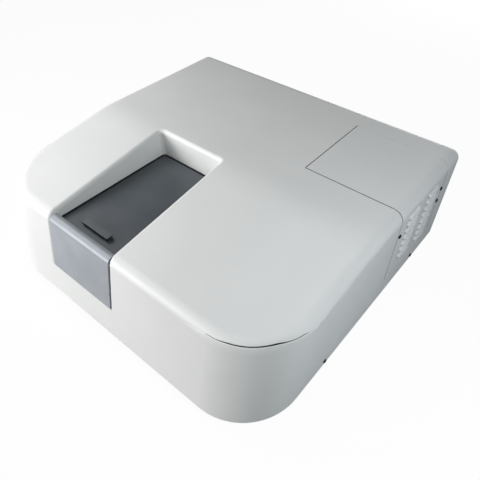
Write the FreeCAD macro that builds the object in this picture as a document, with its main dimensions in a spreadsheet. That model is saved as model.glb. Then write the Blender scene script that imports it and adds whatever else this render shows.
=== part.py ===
"""Double beam spectrophotometer, a bench instrument, in millimetres.

Frame: origin on the bench top under the middle of the instrument, +Z up, +X to the right of someone
who sits in front of it, and the front faces -Y. Light comes from the lamps at the right rear, goes
forward through the monochromator, is shared by the chopper between two beams that cross the sample
compartment to the left, and falls on one photomultiplier.
"""

import FreeCAD, Part
import os
import Sketcher

V = FreeCAD.Vector
Turn = FreeCAD.Rotation
Place = FreeCAD.Placement

doc = FreeCAD.newDocument("Spectrophotometer")
dim = doc.addObject("Spreadsheet::Sheet", "dim")

SIZES = {
    # Casing
    "case_width": 600,
    "case_depth": 574,
    "front_height": 155,
    "rear_height": 190.5,
    "rake_angle": 11.25,
    "bend_back": 16,
    "bend_round": 400,
    "corner": 100,
    "rear_corner": 12,
    "edge_round": 19,
    "wall": 3.5,
    "foot_height": 14,
    "foot_radius": 16,
    "foot_tread": 13.5,
    "foot_inset_side": 70,
    "foot_inset_front": 75,
    "foot_inset_rear": 42,
    # Recess over the sample compartment, and its lid
    "recess_width": 146,
    "recess_middle": 70,
    "recess_rear": 6.8,
    "recess_corner": 8,
    "rim_round": 7,
    "lid_top": 151.7,
    "lid_thick": 3,
    "lid_gap": 1.5,
    "lid_wing": 5.7,
    "lid_behind_roll": 2.3,
    "lid_rear": 8,
    "lid_corner": 3,
    "lid_travel": 194,
    "grip_length": 64,
    "grip_width": 12,
    "grip_height": 8,
    "grip_corner": 1.5,
    "grip_back": 10,
    "rail_width": 7,
    "rail_lip": 3.6,
    "rail_grip": 2,
    "slide_gap": 0.08,
    "bracket_width": 12,
    # Lift-off front panel
    "panel_low": 68.6,
    "panel_side_gap": 0.6,
    "panel_skin": 3,
    "roll_radius": 9.5,
    "roll_middle": 155.8,
    "skirt_low": 147,
    "jamb_depth": 47,
    # Lamp cover and its louvres
    "cover_left": 122,
    "cover_front": 65,
    "cover_rear": 233,
    "cover_low": 57,
    "seam": 0.8,
    "ledge": 2.5,
    "ledge_lap": 12,
    "louvre_length": 36,
    "louvre_height": 9,
    "louvre_proud": 2.4,
    "louvre_lip": 3.5,
    "louvre_skin": 1.2,
    "louvre_pitch": 14.2,
    "louvre_top": 170,
    "louvre_first": 96,
    "louvre_second": 166,
    "louvre_rows": 7,
    "louvre_rows_second": 8,
    # Screws
    "screw_radius": 2,
    "screw_clearance": 0.1,
    "screw_head": 3.6,
    "screw_head_height": 2.4,
    "screw_length": 12,
    "side_screw_front": 111.5,
    "side_screw_rear": 180,
    "side_screw_height": 24,
    "cover_screw_high": 154,
    "cover_screw_low": 127,
    "cover_screw_margin": 6.5,
    # Base pan and rear panel
    "pan_lift": 2,
    "pan_thick": 1.5,
    "pan_rim": 18,
    "pan_gap": 0.5,
    "rear_panel_thick": 2,
    "rear_panel_lap": 7,
    "rear_open_side": 38,
    "rear_open_top": 176,
    "plate_margin": 6,
    "plate_lap": 5.5,
    # Optical bench on its soft mounts
    "bench_inset": 35,
    "bench_setback": 47,
    "bench_rear": 56,
    "bench_thick": 10,
    "rib_pitch": 120,
    "bench_wing_left": 120,
    "bench_wing_rear": 234,
    "isolator_height": 18.5,
    "isolator_radius": 11,
    "isolator_inset": 25,
    "beam_height": 104,
    # Sample compartment
    "tub_behind_lid": 1.3,
    "tub_rear": 12,
    "tub_wall": 2,
    "tub_side": 3,
    "tub_sill": 66,
    "window_radius": 10,
    "window_thick": 2,
    "window_lap": 2,
    "sample_beam": 180,
    "reference_beam": 100,
    "holder_side": 26,
    "holder_top": 122,
    "pocket_side": 12.7,
    "pocket_floor": 89,
    "beam_hole": 4,
    "holder_base_width": 44,
    "holder_base_thick": 5,
    # Monochromator
    "mono_left": 75,
    "mono_right": 255,
    "mono_front": 225,
    "mono_rear": 50,
    "mono_wall": 5,
    "mono_top": 150,
    "mono_lid": 3,
    "beam_x": 215,
    "slit_radius": 12,
    "slit_thick": 1,
    "slit_width": 1,
    "slit_height": 10,
    "mirror_radius": 24,
    "mirror_thick": 8,
    "mirror_front": 190,
    "camera_x": 115,
    "fold_radius": 13,
    "post_width": 14,
    "post_foot": 26,
    "post_foot_thick": 4,
    "grating_x": 165,
    "grating_y": 20,
    "grating_side": 42,
    "grating_thick": 8,
    "motor_side": 42,
    "motor_height": 22,
    "spindle_radius": 2.5,
    "spindle_gap": 0.05,
    "table_radius": 24,
    "table_thick": 4,
    "table_lift": 3,
    "grating_lift": 7,
    # Filter wheel
    "filter_radius": 25,
    "filter_thick": 3,
    "filter_circle": 17,
    "filter_hole": 5.5,
    "filter_count": 6,
    "filter_glass": 2,
    "filter_motor_radius": 10,
    "filter_motor_length": 9,
    "filter_gap": 2,
    # Chopper
    "chopper_x": 42,
    "chopper_radius": 32,
    "chopper_hub": 9,
    "chopper_thick": 2,
    "chopper_clear": 2,
    "chopper_motor_radius": 12,
    "chopper_motor_length": 30,
    "chopper_foot": 10,
    "chopper_shaft": 17,
    "chopper_gap": 2,
    # Lamp house
    "house_left": 130,
    "house_inset": 22,
    "house_front": 80,
    "house_rear": 225,
    "house_wall": 2,
    "house_top": 146,
    "house_window": 9,
    "house_vent": 44,
    "lamp_x": 165,
    "lamp_y": 140,
    "lamp_radius": 15,
    "lamp_length": 60,
    "lamp_flange": 22,
    "lamp_flange_thick": 3,
    "lamp_socket": 44,
    "bulb_y": 195,
    "bulb_radius": 6,
    "bulb_length": 22,
    "bulb_socket": 20,
    "swing_arm": 26,
    "swing_mirror": 26,
    "swing_thick": 3,
    "swing_motor_radius": 10,
    "swing_motor_height": 26,
    # Detector
    "collect_x": 225,
    "collect_angle": 19.3,
    "collect_radius": 15,
    "tube_x": 175,
    "tube_radius": 14,
    "tube_length": 62,
    "tube_socket": 12,
    "tube_box": 42,
    "tube_box_wall": 3,
    # Electronics
    "board_clear": 7.5,
    "board_length": 180,
    "board_thick": 1.6,
    "chip_width": 25,
    "chip_length": 30,
    "chip_pitch_across": 45,
    "chip_pitch_along": 68,
    "chip_margin": 24,
    "standoff_height": 10,
    "standoff_radius": 3,
    "rear_clear": 31.5,
    "supply_inset": 15,
    "supply_clear": 4,
    "supply_length": 180,
    "supply_height": 48,
    "supply_slots": 8,
    "supply_slot_margin": 20,
    "supply_slot_pitch": 18,
    # Rear panel fittings
    "inlet_inset": 65,
    "fitting_height": 60,
    "inlet_width": 27,
    "inlet_height": 20,
    "inlet_flange": 3,
    "inlet_depth": 22,
    "inlet_skin": 1.6,
    "inlet_hollow": 16,
    "inlet_to_switch": 45,
    "switch_width": 14,
    "switch_height": 24,
    "switch_depth": 18,
    "rocker_tilt": 10,
    "rocker_thick": 6,
    "rocker_pin": 1.2,
    "switch_to_fuse": 33,
    "fuse_radius": 7,
    "fuse_length": 26,
    "fuse_cap": 3.4,
    "fuse_slot": 2,
    "fuse_slot_depth": 1.2,
    "fuse_to_port": 62,
    "port_pitch": 45,
    "port_width": 16,
    "port_height": 14,
    "port_depth": 16,
    "port_hollow": 12.8,
    "port_skin": 1,
    "cut_gap": 0.2,
    # Cooling fan
    "fan_inset": 98,
    "fan_z": 105,
    "fan_side": 80,
    "fan_depth": 25,
    "fan_bore": 38,
    "fan_hub": 14,
    "fan_blade": 36,
    "fan_blades": 7,
    "fan_blade_thick": 1.5,
    "fan_blade_gap": 0.5,
    "fan_pitch": 50,
    "fan_plate": 3,
    "fan_hole": 2.2,
    "fan_screw_inset": 4.5,
    "guard_wire": 1.2,
    "guard_span": 104,
    "guard_rings": 4,
}

for row, (alias, number) in enumerate(SIZES.items(), 1):
    dim.set("A%d" % row, alias)
    dim.set("B%d" % row, str(number))
    dim.setAlias("B%d" % row, alias)
doc.recompute()

pieces = []


def value(text):
    """The number that an expression on the sheet's names gives now."""
    return float(dim.evalExpression(text.replace("dim.", "")))


def bind(obj, **sizes):
    for name, text in sizes.items():
        obj.setExpression(name, text)
    return obj


def lay(obj, x, y, z, turn=None):
    """Puts an object at a place that follows the sheet, turned first where a turn is given."""
    if turn is not None:
        obj.Placement = Place(V(), turn)
    for axis, text in zip("xyz", (x, y, z)):
        obj.setExpression(".Placement.Base." + axis, text)
    return obj


def box(name, x, y, z, length, width, height, turn=None):
    made = bind(doc.addObject("Part::Box", name), Length=length, Width=width, Height=height)
    return lay(made, x, y, z, turn)


AXES = {
    "x": Turn(V(0, 1, 0), 90),
    "y": Turn(V(1, 0, 0), -90),
    "z": Turn(),
}


def rod(name, x, y, z, radius, length, along="z"):
    made = bind(doc.addObject("Part::Cylinder", name), Radius=radius, Height=length)
    return lay(made, x, y, z, AXES[along])


def fuse(name, *parts):
    made = doc.addObject("Part::MultiFuse", name)
    made.Shapes = list(parts)
    made.Refine = True
    return made


def cut(name, base, *tools):
    made = doc.addObject("Part::Cut", name)
    made.Base = base
    made.Tool = tools[0] if len(tools) == 1 else fuse(name + "_tools", *tools)
    return made


def common(name, *parts):
    made = doc.addObject("Part::MultiCommon", name)
    made.Shapes = list(parts)
    return made


def group(name, *parts):
    """Separate solids that share one node, such as a set of screws."""
    made = doc.addObject("Part::Compound", name)
    made.Links = list(parts)
    return made


def piece(obj, label):
    """Names a finished sub-part; its label names its file."""
    obj.Label = label
    pieces.append(obj)
    return obj


def origin_plane(body, role):
    return [feature for feature in body.Origin.OriginFeatures if feature.Role == role][0]


def polygon(body, role, name, corners, lift="0"):
    """A closed sketch of straight lines whose corners are tied to the sheet."""
    sketch = body.newObject("Sketcher::SketchObject", name)
    sketch.AttachmentSupport = [(origin_plane(body, role), "")]
    sketch.MapMode = "FlatFace"
    sketch.setExpression(".AttachmentOffset.Base.z", lift)
    points = [V(value(across), value(up), 0) for across, up in corners]
    count = len(points)
    for i in range(count):
        sketch.addGeometry(Part.LineSegment(points[i], points[(i + 1) % count]), False)
    for i in range(count):
        sketch.addConstraint(Sketcher.Constraint("Coincident", i, 2, (i + 1) % count, 1))
    for i, (across, up) in enumerate(corners):
        for kind, text, number in (("DistanceX", across, points[i].x), ("DistanceY", up, points[i].y)):
            index = sketch.addConstraint(Sketcher.Constraint(kind, -1, 1, i, 1, number))
            sketch.setExpression("Constraints[%d]" % index, text)
    return sketch


def pad(body, name, sketch, length, both_ways=False):
    made = body.newObject("PartDesign::Pad", name)
    made.Profile = sketch
    made.SideType = "Symmetric" if both_ways else "One side"
    made.setExpression("Length", length)
    body.Tip = made
    doc.recompute()
    return made


def edges(feature, wanted):
    """Names of a feature's edges that pass a test on their box and their two faces."""
    shape = feature.Shape
    names = []
    for number, edge in enumerate(shape.Edges, 1):
        if wanted(edge.BoundBox, shape.ancestorsOfType(edge, Part.Face)):
            names.append("Edge%d" % number)
    return names


def fillet(body, name, wanted, radius):
    base = body.Tip
    made = body.newObject("PartDesign::Fillet", name)
    made.Base = (base, edges(base, wanted))
    made.setExpression("Radius", radius)
    body.Tip = made
    doc.recompute()
    return made


def face_middle(face):
    u_low, u_high, v_low, v_high = face.ParameterRange
    u = (u_low + u_high) / 2
    v = (v_low + v_high) / 2
    return face.valueAt(u, v), face.normalAt(u, v)


# Levels and planes that many pieces share
TINY = 0.01
REAR = "dim.case_depth / 2"
SIDE = "dim.case_width / 2"
PAN_FLOOR = "(dim.foot_height + dim.pan_lift + dim.pan_thick)"
BENCH_LOW = "(%s + dim.isolator_height)" % PAN_FLOOR
BENCH = "(%s + dim.bench_thick)" % BENCH_LOW
PANEL_IN = "(%s - dim.wall - dim.rear_panel_thick)" % REAR
RECESS_LEFT = "(-dim.recess_middle - dim.recess_width / 2)"
RECESS_RIGHT = "(-dim.recess_middle + dim.recess_width / 2)"
LID_LOW = "(dim.lid_top - dim.lid_thick)"
HOUSE_RIGHT = "(%s - dim.house_inset)" % SIDE


def front_face(height):
    """Y of the raked front face at a height."""
    return "(-dim.case_depth / 2 + (%s - dim.foot_height) * tan(dim.rake_angle))" % height


ROLL_AXIS = "(%s + dim.roll_radius / cos(dim.rake_angle))" % front_face("dim.roll_middle")
LID_FRONT = "(%s + dim.roll_radius + dim.lid_behind_roll)" % ROLL_AXIS
TUB_FRONT = "(%s + dim.tub_behind_lid)" % LID_FRONT


# Casing form: raked front, top that falls to the front, large front corners, soft top edge
def casing_form(name, inset, low):
    body = doc.addObject("PartDesign::Body", name)
    top = "dim.foot_height + dim.rear_height - %s" % inset
    brow = "(dim.foot_height + dim.front_height - %s)" % inset
    corners = [
        (front_face(low) + " + " + inset, low),
        (front_face(brow) + " + " + inset, brow),
        ("-dim.bend_back", top),
        ("%s - %s" % (REAR, inset), top),
        ("%s - %s" % (REAR, inset), low),
    ]
    sketch = polygon(body, "YZ_Plane", name + "_side", corners)
    pad(body, name + "_pad", sketch, "dim.case_width - 2 * " + inset, both_ways=True)

    def upright(bounds):
        return bounds.XLength < TINY and bounds.ZLength > value("dim.front_height") / 2

    fillet(body, name + "_front", lambda b, f: upright(b) and b.YMax < 0, "dim.corner - " + inset)
    fillet(body, name + "_rear", lambda b, f: upright(b) and b.YMin > 0, "dim.rear_corner - " + inset)

    def bend(bounds, faces):
        level = bounds.YLength < TINY and bounds.ZLength < TINY
        return level and abs(bounds.YMin + value("dim.bend_back")) < TINY

    fillet(body, name + "_bend", bend, "dim.bend_round")

    def top_edge(bounds, faces):
        facing_up = [face_middle(face)[1].z > 0.8 for face in faces]
        return bounds.ZMin > value("dim.front_height") / 2 and sum(facing_up) == 1

    fillet(body, name + "_top", top_edge, "dim.edge_round - " + inset)
    return body


# The recess is cut from the outer form, down to the sill of the front panel, and its rim is rounded
def recessed_form():
    body = casing_form("outer_form", "0", "dim.foot_height")
    corners = [
        (RECESS_LEFT, "-dim.case_depth"),
        (RECESS_RIGHT, "-dim.case_depth"),
        (RECESS_RIGHT, "-dim.recess_rear"),
        (RECESS_LEFT, "-dim.recess_rear"),
    ]
    plan = polygon(body, "XY_Plane", "recess_plan", corners, "dim.panel_low")
    pocket = body.newObject("PartDesign::Pocket", "recess")
    pocket.Profile = plan
    pocket.Reversed = True
    pocket.setExpression("Length", "dim.case_depth")
    body.Tip = pocket
    doc.recompute()
    back = -value("dim.recess_rear")

    def rear_corner(bounds, faces):
        slender = bounds.XLength < TINY and bounds.YLength < TINY
        return slender and abs(bounds.YMin - back) < TINY

    fillet(body, "recess_corners", rear_corner, "dim.recess_corner")
    left = value(RECESS_LEFT)
    right = value(RECESS_RIGHT)
    sill = value("dim.panel_low")

    def recess_wall(face):
        point, normal = face_middle(face)
        inside = left - TINY <= point.x <= right + TINY and point.y < back + TINY and point.z > sill
        faces_front = abs(normal.x) < 0.2 and point.y < -value("dim.case_depth") / 3
        return inside and abs(normal.z) < TINY and not faces_front

    def rim(bounds, faces):
        return bounds.ZMax > sill + 1 and sum(recess_wall(face) for face in faces) == 1

    fillet(body, "recess_rim", rim, "dim.rim_round")
    return body


outer = recessed_form()
inner = casing_form("inner_form", "dim.wall", "0")
lining = casing_form("lining_form", "(dim.wall + dim.ledge)", "0")


def screw_places():
    """Where the casing's screws go: side, y and height."""
    places = []
    for side in (-1, 1):
        places.append((side, "-dim.side_screw_front", "dim.side_screw_height"))
        places.append((side, "dim.side_screw_rear", "dim.side_screw_height"))
    front = "(dim.cover_front + dim.cover_screw_margin)"
    rear = "(dim.cover_rear - dim.cover_screw_margin)"
    places.append((1, front, "dim.cover_screw_high"))
    places.append((1, rear, "dim.cover_screw_high"))
    places.append((1, rear, "dim.cover_screw_low"))
    return places


def screw_hole(name, side, y, z):
    """A clearance hole through a side wall and what lies 10 mm behind it."""
    start = "%s - 2 * dim.screw_length" % SIDE if side > 0 else "-%s - dim.screw_length" % SIDE
    return rod(name, start, y, z, "dim.screw_radius + dim.screw_clearance", "3 * dim.screw_length", "x")


def lamp_window(name, grow):
    """The block of space that the lamp cover closes, grown or shrunk all round."""
    return box(
        name,
        "dim.cover_left - " + grow,
        "dim.cover_front - " + grow,
        "dim.cover_low - " + grow,
        "dim.case_width",
        "dim.cover_rear - dim.cover_front + 2 * " + grow,
        "dim.case_depth",
    )


# Top cover: one moulding with the recess, its walls and the ledge that the lamp cover lies on
def make_top_cover():
    span = "dim.recess_width + 2 * dim.wall"
    left = RECESS_LEFT + " - dim.wall"
    walls = box(
        "recess_walls", left, "-dim.case_depth", "dim.lid_top + dim.lid_gap",
        span, "dim.case_depth - dim.recess_rear + dim.wall", "dim.case_depth",
    )
    jambs = box(
        "panel_jambs", left, "-dim.case_depth", "dim.panel_low - dim.wall",
        span, "dim.case_depth / 2 + dim.jamb_depth", "dim.case_depth",
    )
    hollow = cut("cover_hollow", inner, walls, jambs)
    rear_opening = box(
        "rear_opening", "-%s + dim.rear_open_side" % SIDE, PANEL_IN, "0",
        "dim.case_width - 2 * dim.rear_open_side", "dim.case_depth", "dim.rear_open_top",
    )
    shell = cut("cover_shell", outer, hollow, lamp_window("lamp_opening", "0"), rear_opening)
    frame = cut(
        "ledge_frame", lamp_window("ledge_out", "dim.ledge_lap"),
        lamp_window("ledge_in", "(-dim.ledge_lap)"),
    )
    ledge = common("cover_ledge", cut("ledge_sheet", inner, lining), frame)
    holes = [screw_hole("cover_hole_%d" % i, *spot) for i, spot in enumerate(screw_places())]
    piece(cut("TopCover", fuse("cover_body", shell, ledge), *holes), "top_cover")


# Lamp cover: lifts away for changing lamps, with two columns of pressed louvres for the cooling air
def louvre(name, y, z):
    """A hood pressed out of the side wall, and the slot under it."""
    turned = Turn(V(0, 0, 1), -90)
    hood = doc.addObject("Part::Wedge", name)
    bind(
        hood, Xmin="0", Xmax="dim.louvre_length", X2min="dim.louvre_proud",
        X2max="dim.louvre_length - dim.louvre_proud", Ymin="-dim.wall / 2", Ymax="dim.louvre_proud",
        Zmin="0", Zmax="dim.louvre_height", Z2min="0", Z2max="dim.louvre_lip",
    )
    lay(hood, SIDE, y + " + dim.louvre_length", z, turned)
    slot = doc.addObject("Part::Wedge", name + "_slot")
    bind(
        slot, Xmin="dim.louvre_skin * 2", Xmax="dim.louvre_length - dim.louvre_skin * 2",
        X2min="dim.louvre_proud + dim.louvre_skin",
        X2max="dim.louvre_length - dim.louvre_proud - dim.louvre_skin",
        Ymin="-2 * dim.wall", Ymax="dim.louvre_proud - dim.louvre_skin",
        Zmin="-dim.louvre_skin", Zmax="dim.louvre_height - dim.louvre_skin",
        Z2min="-dim.louvre_skin", Z2max="dim.louvre_lip - dim.louvre_skin",
    )
    lay(slot, SIDE, y + " + dim.louvre_length", z, turned)
    return hood, slot


def make_lamp_cover():
    shell = cut("casing_shell", outer, inner)
    skin = common("lamp_cover_skin", shell, lamp_window("cover_block", "(-dim.seam)"))
    hoods = []
    slots = []
    columns = (
        ("front", "dim.louvre_first", "dim.louvre_rows"),
        ("rear", "dim.louvre_second", "dim.louvre_rows_second"),
    )
    for column, start, rows in columns:
        for row in range(int(value(rows))):
            height = "dim.louvre_top - %d * dim.louvre_pitch" % row
            hood, slot = louvre("louvre_%s_%d" % (column, row), start, height)
            hoods.append(hood)
            slots.append(slot)
    holes = [
        screw_hole("lamp_cover_hole_%d" % i, *spot) for i, spot in enumerate(screw_places()[4:])
    ]
    piece(cut("LampCover", fuse("lamp_cover_hoods", skin, *hoods), *slots, *holes), "lamp_cover")


make_top_cover()
make_lamp_cover()


# Screws: button heads outside the walls, shanks through them
def make_screws():
    screws = []
    for i, (side, y, z) in enumerate(screw_places()):
        name = "screw_%d" % i
        head_at = SIDE if side > 0 else "-%s - dim.screw_head_height" % SIDE
        shank_at = "%s - dim.screw_length" % SIDE if side > 0 else "-%s" % SIDE
        head = rod(name + "_head", head_at, y, z, "dim.screw_head", "dim.screw_head_height", "x")
        shank = rod(name + "_shank", shank_at, y, z, "dim.screw_radius", "dim.screw_length", "x")
        screws.append(fuse(name, head, shank))
    piece(group("Screws", *screws), "casing_screws")


# Base pan: folded sheet with a rim, which the cover slips over
def pan_block(name, inset, low, height):
    body = doc.addObject("PartDesign::Body", name)
    side = "(%s - dim.wall - dim.pan_gap - %s)" % (SIDE, inset)
    front = "(%s + dim.wall + dim.pan_gap + %s)" % (front_face("(%s + dim.pan_rim)" % PAN_FLOOR), inset)
    rear = "(%s - %s)" % (PANEL_IN, inset)
    corners = [("-" + side, front), (side, front), (side, rear), ("-" + side, rear)]
    pad(body, name + "_pad", polygon(body, "XY_Plane", name + "_plan", corners, low), height)
    radius = "dim.corner - dim.wall - dim.pan_gap - " + inset

    def upright(bounds):
        return bounds.XLength < TINY and bounds.YLength < TINY

    fillet(body, name + "_front", lambda b, f: upright(b) and b.YMax < 0, radius)
    radius = "dim.rear_corner - dim.wall - dim.pan_gap - " + inset
    fillet(body, name + "_rear", lambda b, f: upright(b) and b.YMin > 0, radius)
    return body


def make_base_pan():
    low = "(dim.foot_height + dim.pan_lift)"
    solid = pan_block("pan_out", "0", low, "dim.pan_thick + dim.pan_rim")
    space = pan_block("pan_in", "dim.pan_thick", PAN_FLOOR, "dim.pan_rim * 2")
    holes = [screw_hole("pan_hole_%d" % i, *spot) for i, spot in enumerate(screw_places()[:4])]
    piece(cut("BasePan", solid, space, *holes), "base_pan")


# Rubber feet under the pan
def make_feet():
    feet = []
    side = "(%s - dim.foot_inset_side)" % SIDE
    front = "(-%s + dim.foot_inset_front)" % REAR
    rear = "(%s - dim.foot_inset_rear)" % REAR
    for name, x, y in (
        ("front_left", "-" + side, front), ("front_right", side, front),
        ("rear_left", "-" + side, rear), ("rear_right", side, rear),
    ):
        cone = doc.addObject("Part::Cone", "foot_" + name)
        bind(
            cone, Radius1="dim.foot_tread", Radius2="dim.foot_radius",
            Height="dim.foot_height + dim.pan_lift",
        )
        feet.append(lay(cone, x, y, "0"))
    piece(group("Feet", *feet), "feet")


# Middles of the rear panel's fittings, one after the other from its left end
INLET_X = "(-%s + dim.inlet_inset)" % SIDE
SWITCH_X = "(%s + dim.inlet_to_switch)" % INLET_X
FUSE_X = "(%s + dim.switch_to_fuse)" % SWITCH_X
PORTS_X = ("(%s + dim.fuse_to_port)" % FUSE_X, "(%s + dim.fuse_to_port + dim.port_pitch)" % FUSE_X)
PLATE_LEFT = "(%s - dim.inlet_width / 2 - dim.plate_margin)" % INLET_X
PLATE_RIGHT = "(%s + dim.port_width / 2 + dim.plate_margin)" % PORTS_X[1]
PLATE_LOW = "(dim.fitting_height - dim.switch_height / 2 - dim.plate_margin)"
PLATE_HEIGHT = "(dim.switch_height + 2 * dim.plate_margin)"
FAN_X = "(%s - dim.fan_inset)" % SIDE
FAN_SCREW = "(dim.fan_side / 2 - dim.fan_screw_inset)"


# Rear panel: a plate behind the cover's rear opening, cut out for its fittings
def make_rear_panel():
    plate = box(
        "rear_plate", "-%s + dim.rear_open_side - dim.rear_panel_lap" % SIDE, PANEL_IN,
        "dim.foot_height + dim.pan_lift", "dim.case_width - 2 * dim.rear_open_side + 2 * dim.rear_panel_lap",
        "dim.rear_panel_thick", "dim.rear_open_top + dim.rear_panel_lap - dim.foot_height - dim.pan_lift",
    )
    through = "dim.rear_panel_thick * 3"
    start = "%s - dim.rear_panel_thick" % PANEL_IN
    cuts = [box(
        "plate_window", PLATE_LEFT, start, PLATE_LOW, "%s - %s" % (PLATE_RIGHT, PLATE_LEFT), through, PLATE_HEIGHT,
    )]
    cuts.append(rod("fan_cut", FAN_X, start, "dim.fan_z", "dim.fan_bore", through, "y"))
    for x_sign in ("-", "+"):
        for z_sign in ("-", "+"):
            x = "%s %s %s" % (FAN_X, x_sign, FAN_SCREW)
            z = "dim.fan_z %s %s" % (z_sign, FAN_SCREW)
            cuts.append(rod("fan_screw_cut", x, start, z, "dim.fan_hole", through, "y"))
    piece(cut("RearPanel", plate, *cuts), "rear_panel")


# Connector plate: behind the rear panel's window, with a hole for each fitting
def make_connector_plate():
    start = "%s - dim.rear_panel_thick" % PANEL_IN
    plate = box(
        "plate_sheet", PLATE_LEFT + " - dim.plate_lap", start, PLATE_LOW + " - dim.plate_lap",
        "%s - %s + 2 * dim.plate_lap" % (PLATE_RIGHT, PLATE_LEFT), "dim.rear_panel_thick",
        PLATE_HEIGHT + " + 2 * dim.plate_lap",
    )
    through = "dim.rear_panel_thick * 3"
    start = start + " - dim.rear_panel_thick"
    cuts = []
    for name, x, width, height in (
        ("inlet", INLET_X, "dim.inlet_width", "dim.inlet_height"),
        ("switch", SWITCH_X, "dim.switch_width", "dim.switch_height"),
        ("port_first", PORTS_X[0], "dim.port_width", "dim.port_height"),
        ("port_second", PORTS_X[1], "dim.port_width", "dim.port_height"),
    ):
        cuts.append(box(
            name + "_cut", "%s - %s / 2 - dim.cut_gap" % (x, width), start,
            "dim.fitting_height - %s / 2 - dim.cut_gap" % height,
            width + " + 2 * dim.cut_gap", through, height + " + 2 * dim.cut_gap",
        ))
    cuts.append(rod(
        "fuse_cut", FUSE_X, start, "dim.fitting_height", "dim.fuse_radius + dim.cut_gap",
        through, "y",
    ))
    piece(cut("ConnectorPlate", plate, *cuts), "connector_plate")


# Front panel: lifts off upward, with a roll along its top as a finger hold
def make_front_panel():
    body = doc.addObject("PartDesign::Body", "panel_skin")
    low = "(dim.panel_low + dim.panel_side_gap / 2)"
    skin = "dim.panel_skin / cos(dim.rake_angle)"
    corners = [
        (front_face(low), low),
        (front_face("dim.roll_middle"), "dim.roll_middle"),
        (front_face("dim.roll_middle") + " + " + skin, "dim.roll_middle"),
        (front_face(low) + " + " + skin, low),
    ]
    sketch = polygon(body, "YZ_Plane", "panel_side", corners, RECESS_LEFT + " + dim.panel_side_gap")
    width = "dim.recess_width - 2 * dim.panel_side_gap"
    pad(body, "panel_pad", sketch, width)
    left = RECESS_LEFT + " + dim.panel_side_gap"
    roll = rod("panel_roll", left, ROLL_AXIS, "dim.roll_middle", "dim.roll_radius", width, "x")
    skirt = box(
        "panel_skirt", left, ROLL_AXIS + " + dim.roll_radius - dim.panel_skin", "dim.skirt_low",
        width, "dim.panel_skin", "dim.roll_middle - dim.skirt_low",
    )
    piece(fuse("FrontPanel", body, roll, skirt), "front_panel")


# Lid of the sample compartment: slides to the rear, under the top cover, on two nylon rails
def make_lid():
    body = doc.addObject("PartDesign::Body", "Lid")
    left = RECESS_LEFT + " - dim.lid_wing"
    right = RECESS_RIGHT + " + dim.lid_wing"
    corners = [
        (left, LID_FRONT),
        (right, LID_FRONT),
        (right, "dim.lid_rear"),
        (left, "dim.lid_rear"),
    ]
    pad(body, "lid_pad", polygon(body, "XY_Plane", "lid_plan", corners, LID_LOW), "dim.lid_thick")
    fillet(body, "lid_corners", lambda b, f: b.XLength < TINY and b.YLength < TINY, "dim.lid_corner")
    piece(body, "compartment_lid")
    grip = doc.addObject("PartDesign::Body", "Grip")
    front = "(%s + dim.grip_back)" % LID_FRONT
    rear = "(%s + dim.grip_width)" % front
    left = "(-dim.recess_middle - dim.grip_length / 2)"
    right = "(-dim.recess_middle + dim.grip_length / 2)"
    corners = [(left, front), (right, front), (right, rear), (left, rear)]
    pad(grip, "grip_pad", polygon(grip, "XY_Plane", "grip_plan", corners, "dim.lid_top"), "dim.grip_height")
    fillet(grip, "grip_corners", lambda b, f: b.XLength < TINY and b.YLength < TINY, "dim.grip_corner")
    piece(grip, "lid_grip")


RAIL_LOW = "(%s - dim.slide_gap - dim.rail_grip)" % LID_LOW
RAIL_HEIGHT = "(dim.lid_thick + 2 * dim.slide_gap + dim.rail_grip + dim.rail_lip)"
RAIL_REAR = "(dim.lid_rear + dim.lid_travel + dim.rail_width)"


def rail_left(side):
    """Left edge of a rail: each one starts 0.5 mm outside the recess wall."""
    if side == "left":
        return "(%s - dim.wall - dim.pan_gap - dim.rail_width)" % RECESS_LEFT
    return "(%s + dim.wall + dim.pan_gap)" % RECESS_RIGHT


def make_rails():
    for side in ("left", "right"):
        left = rail_left(side)
        strip = box(
            "rail_" + side, left, LID_FRONT + " + dim.panel_side_gap", RAIL_LOW, "dim.rail_width",
            "%s - %s - dim.panel_side_gap" % (RAIL_REAR, LID_FRONT), RAIL_HEIGHT,
        )
        groove = box(
            "groove_" + side, RECESS_LEFT + " - dim.lid_wing - dim.slide_gap", "-dim.case_depth",
            "%s - dim.slide_gap" % LID_LOW, "dim.recess_width + 2 * dim.lid_wing + 2 * dim.slide_gap",
            "dim.case_depth * 2", "dim.lid_thick + 2 * dim.slide_gap",
        )
        piece(cut("Rail_" + side, strip, groove), "lid_rail_" + side)
    brackets = []
    for side in ("left", "right"):
        left = rail_left(side)
        post = box(
            "bracket_post_" + side, left, "%s - dim.bracket_width" % RAIL_REAR, PAN_FLOOR,
            "dim.rail_width", "dim.bracket_width", "%s - %s" % (RAIL_LOW, PAN_FLOOR),
        )
        foot = box(
            "bracket_foot_" + side, left + " - dim.rail_width", "%s - 2 * dim.bracket_width" % RAIL_REAR,
            PAN_FLOOR, "3 * dim.rail_width", "2 * dim.bracket_width", "dim.tub_wall",
        )
        brackets.append(fuse("bracket_" + side, post, foot))
    piece(group("Brackets", *brackets), "rail_brackets")


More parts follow.
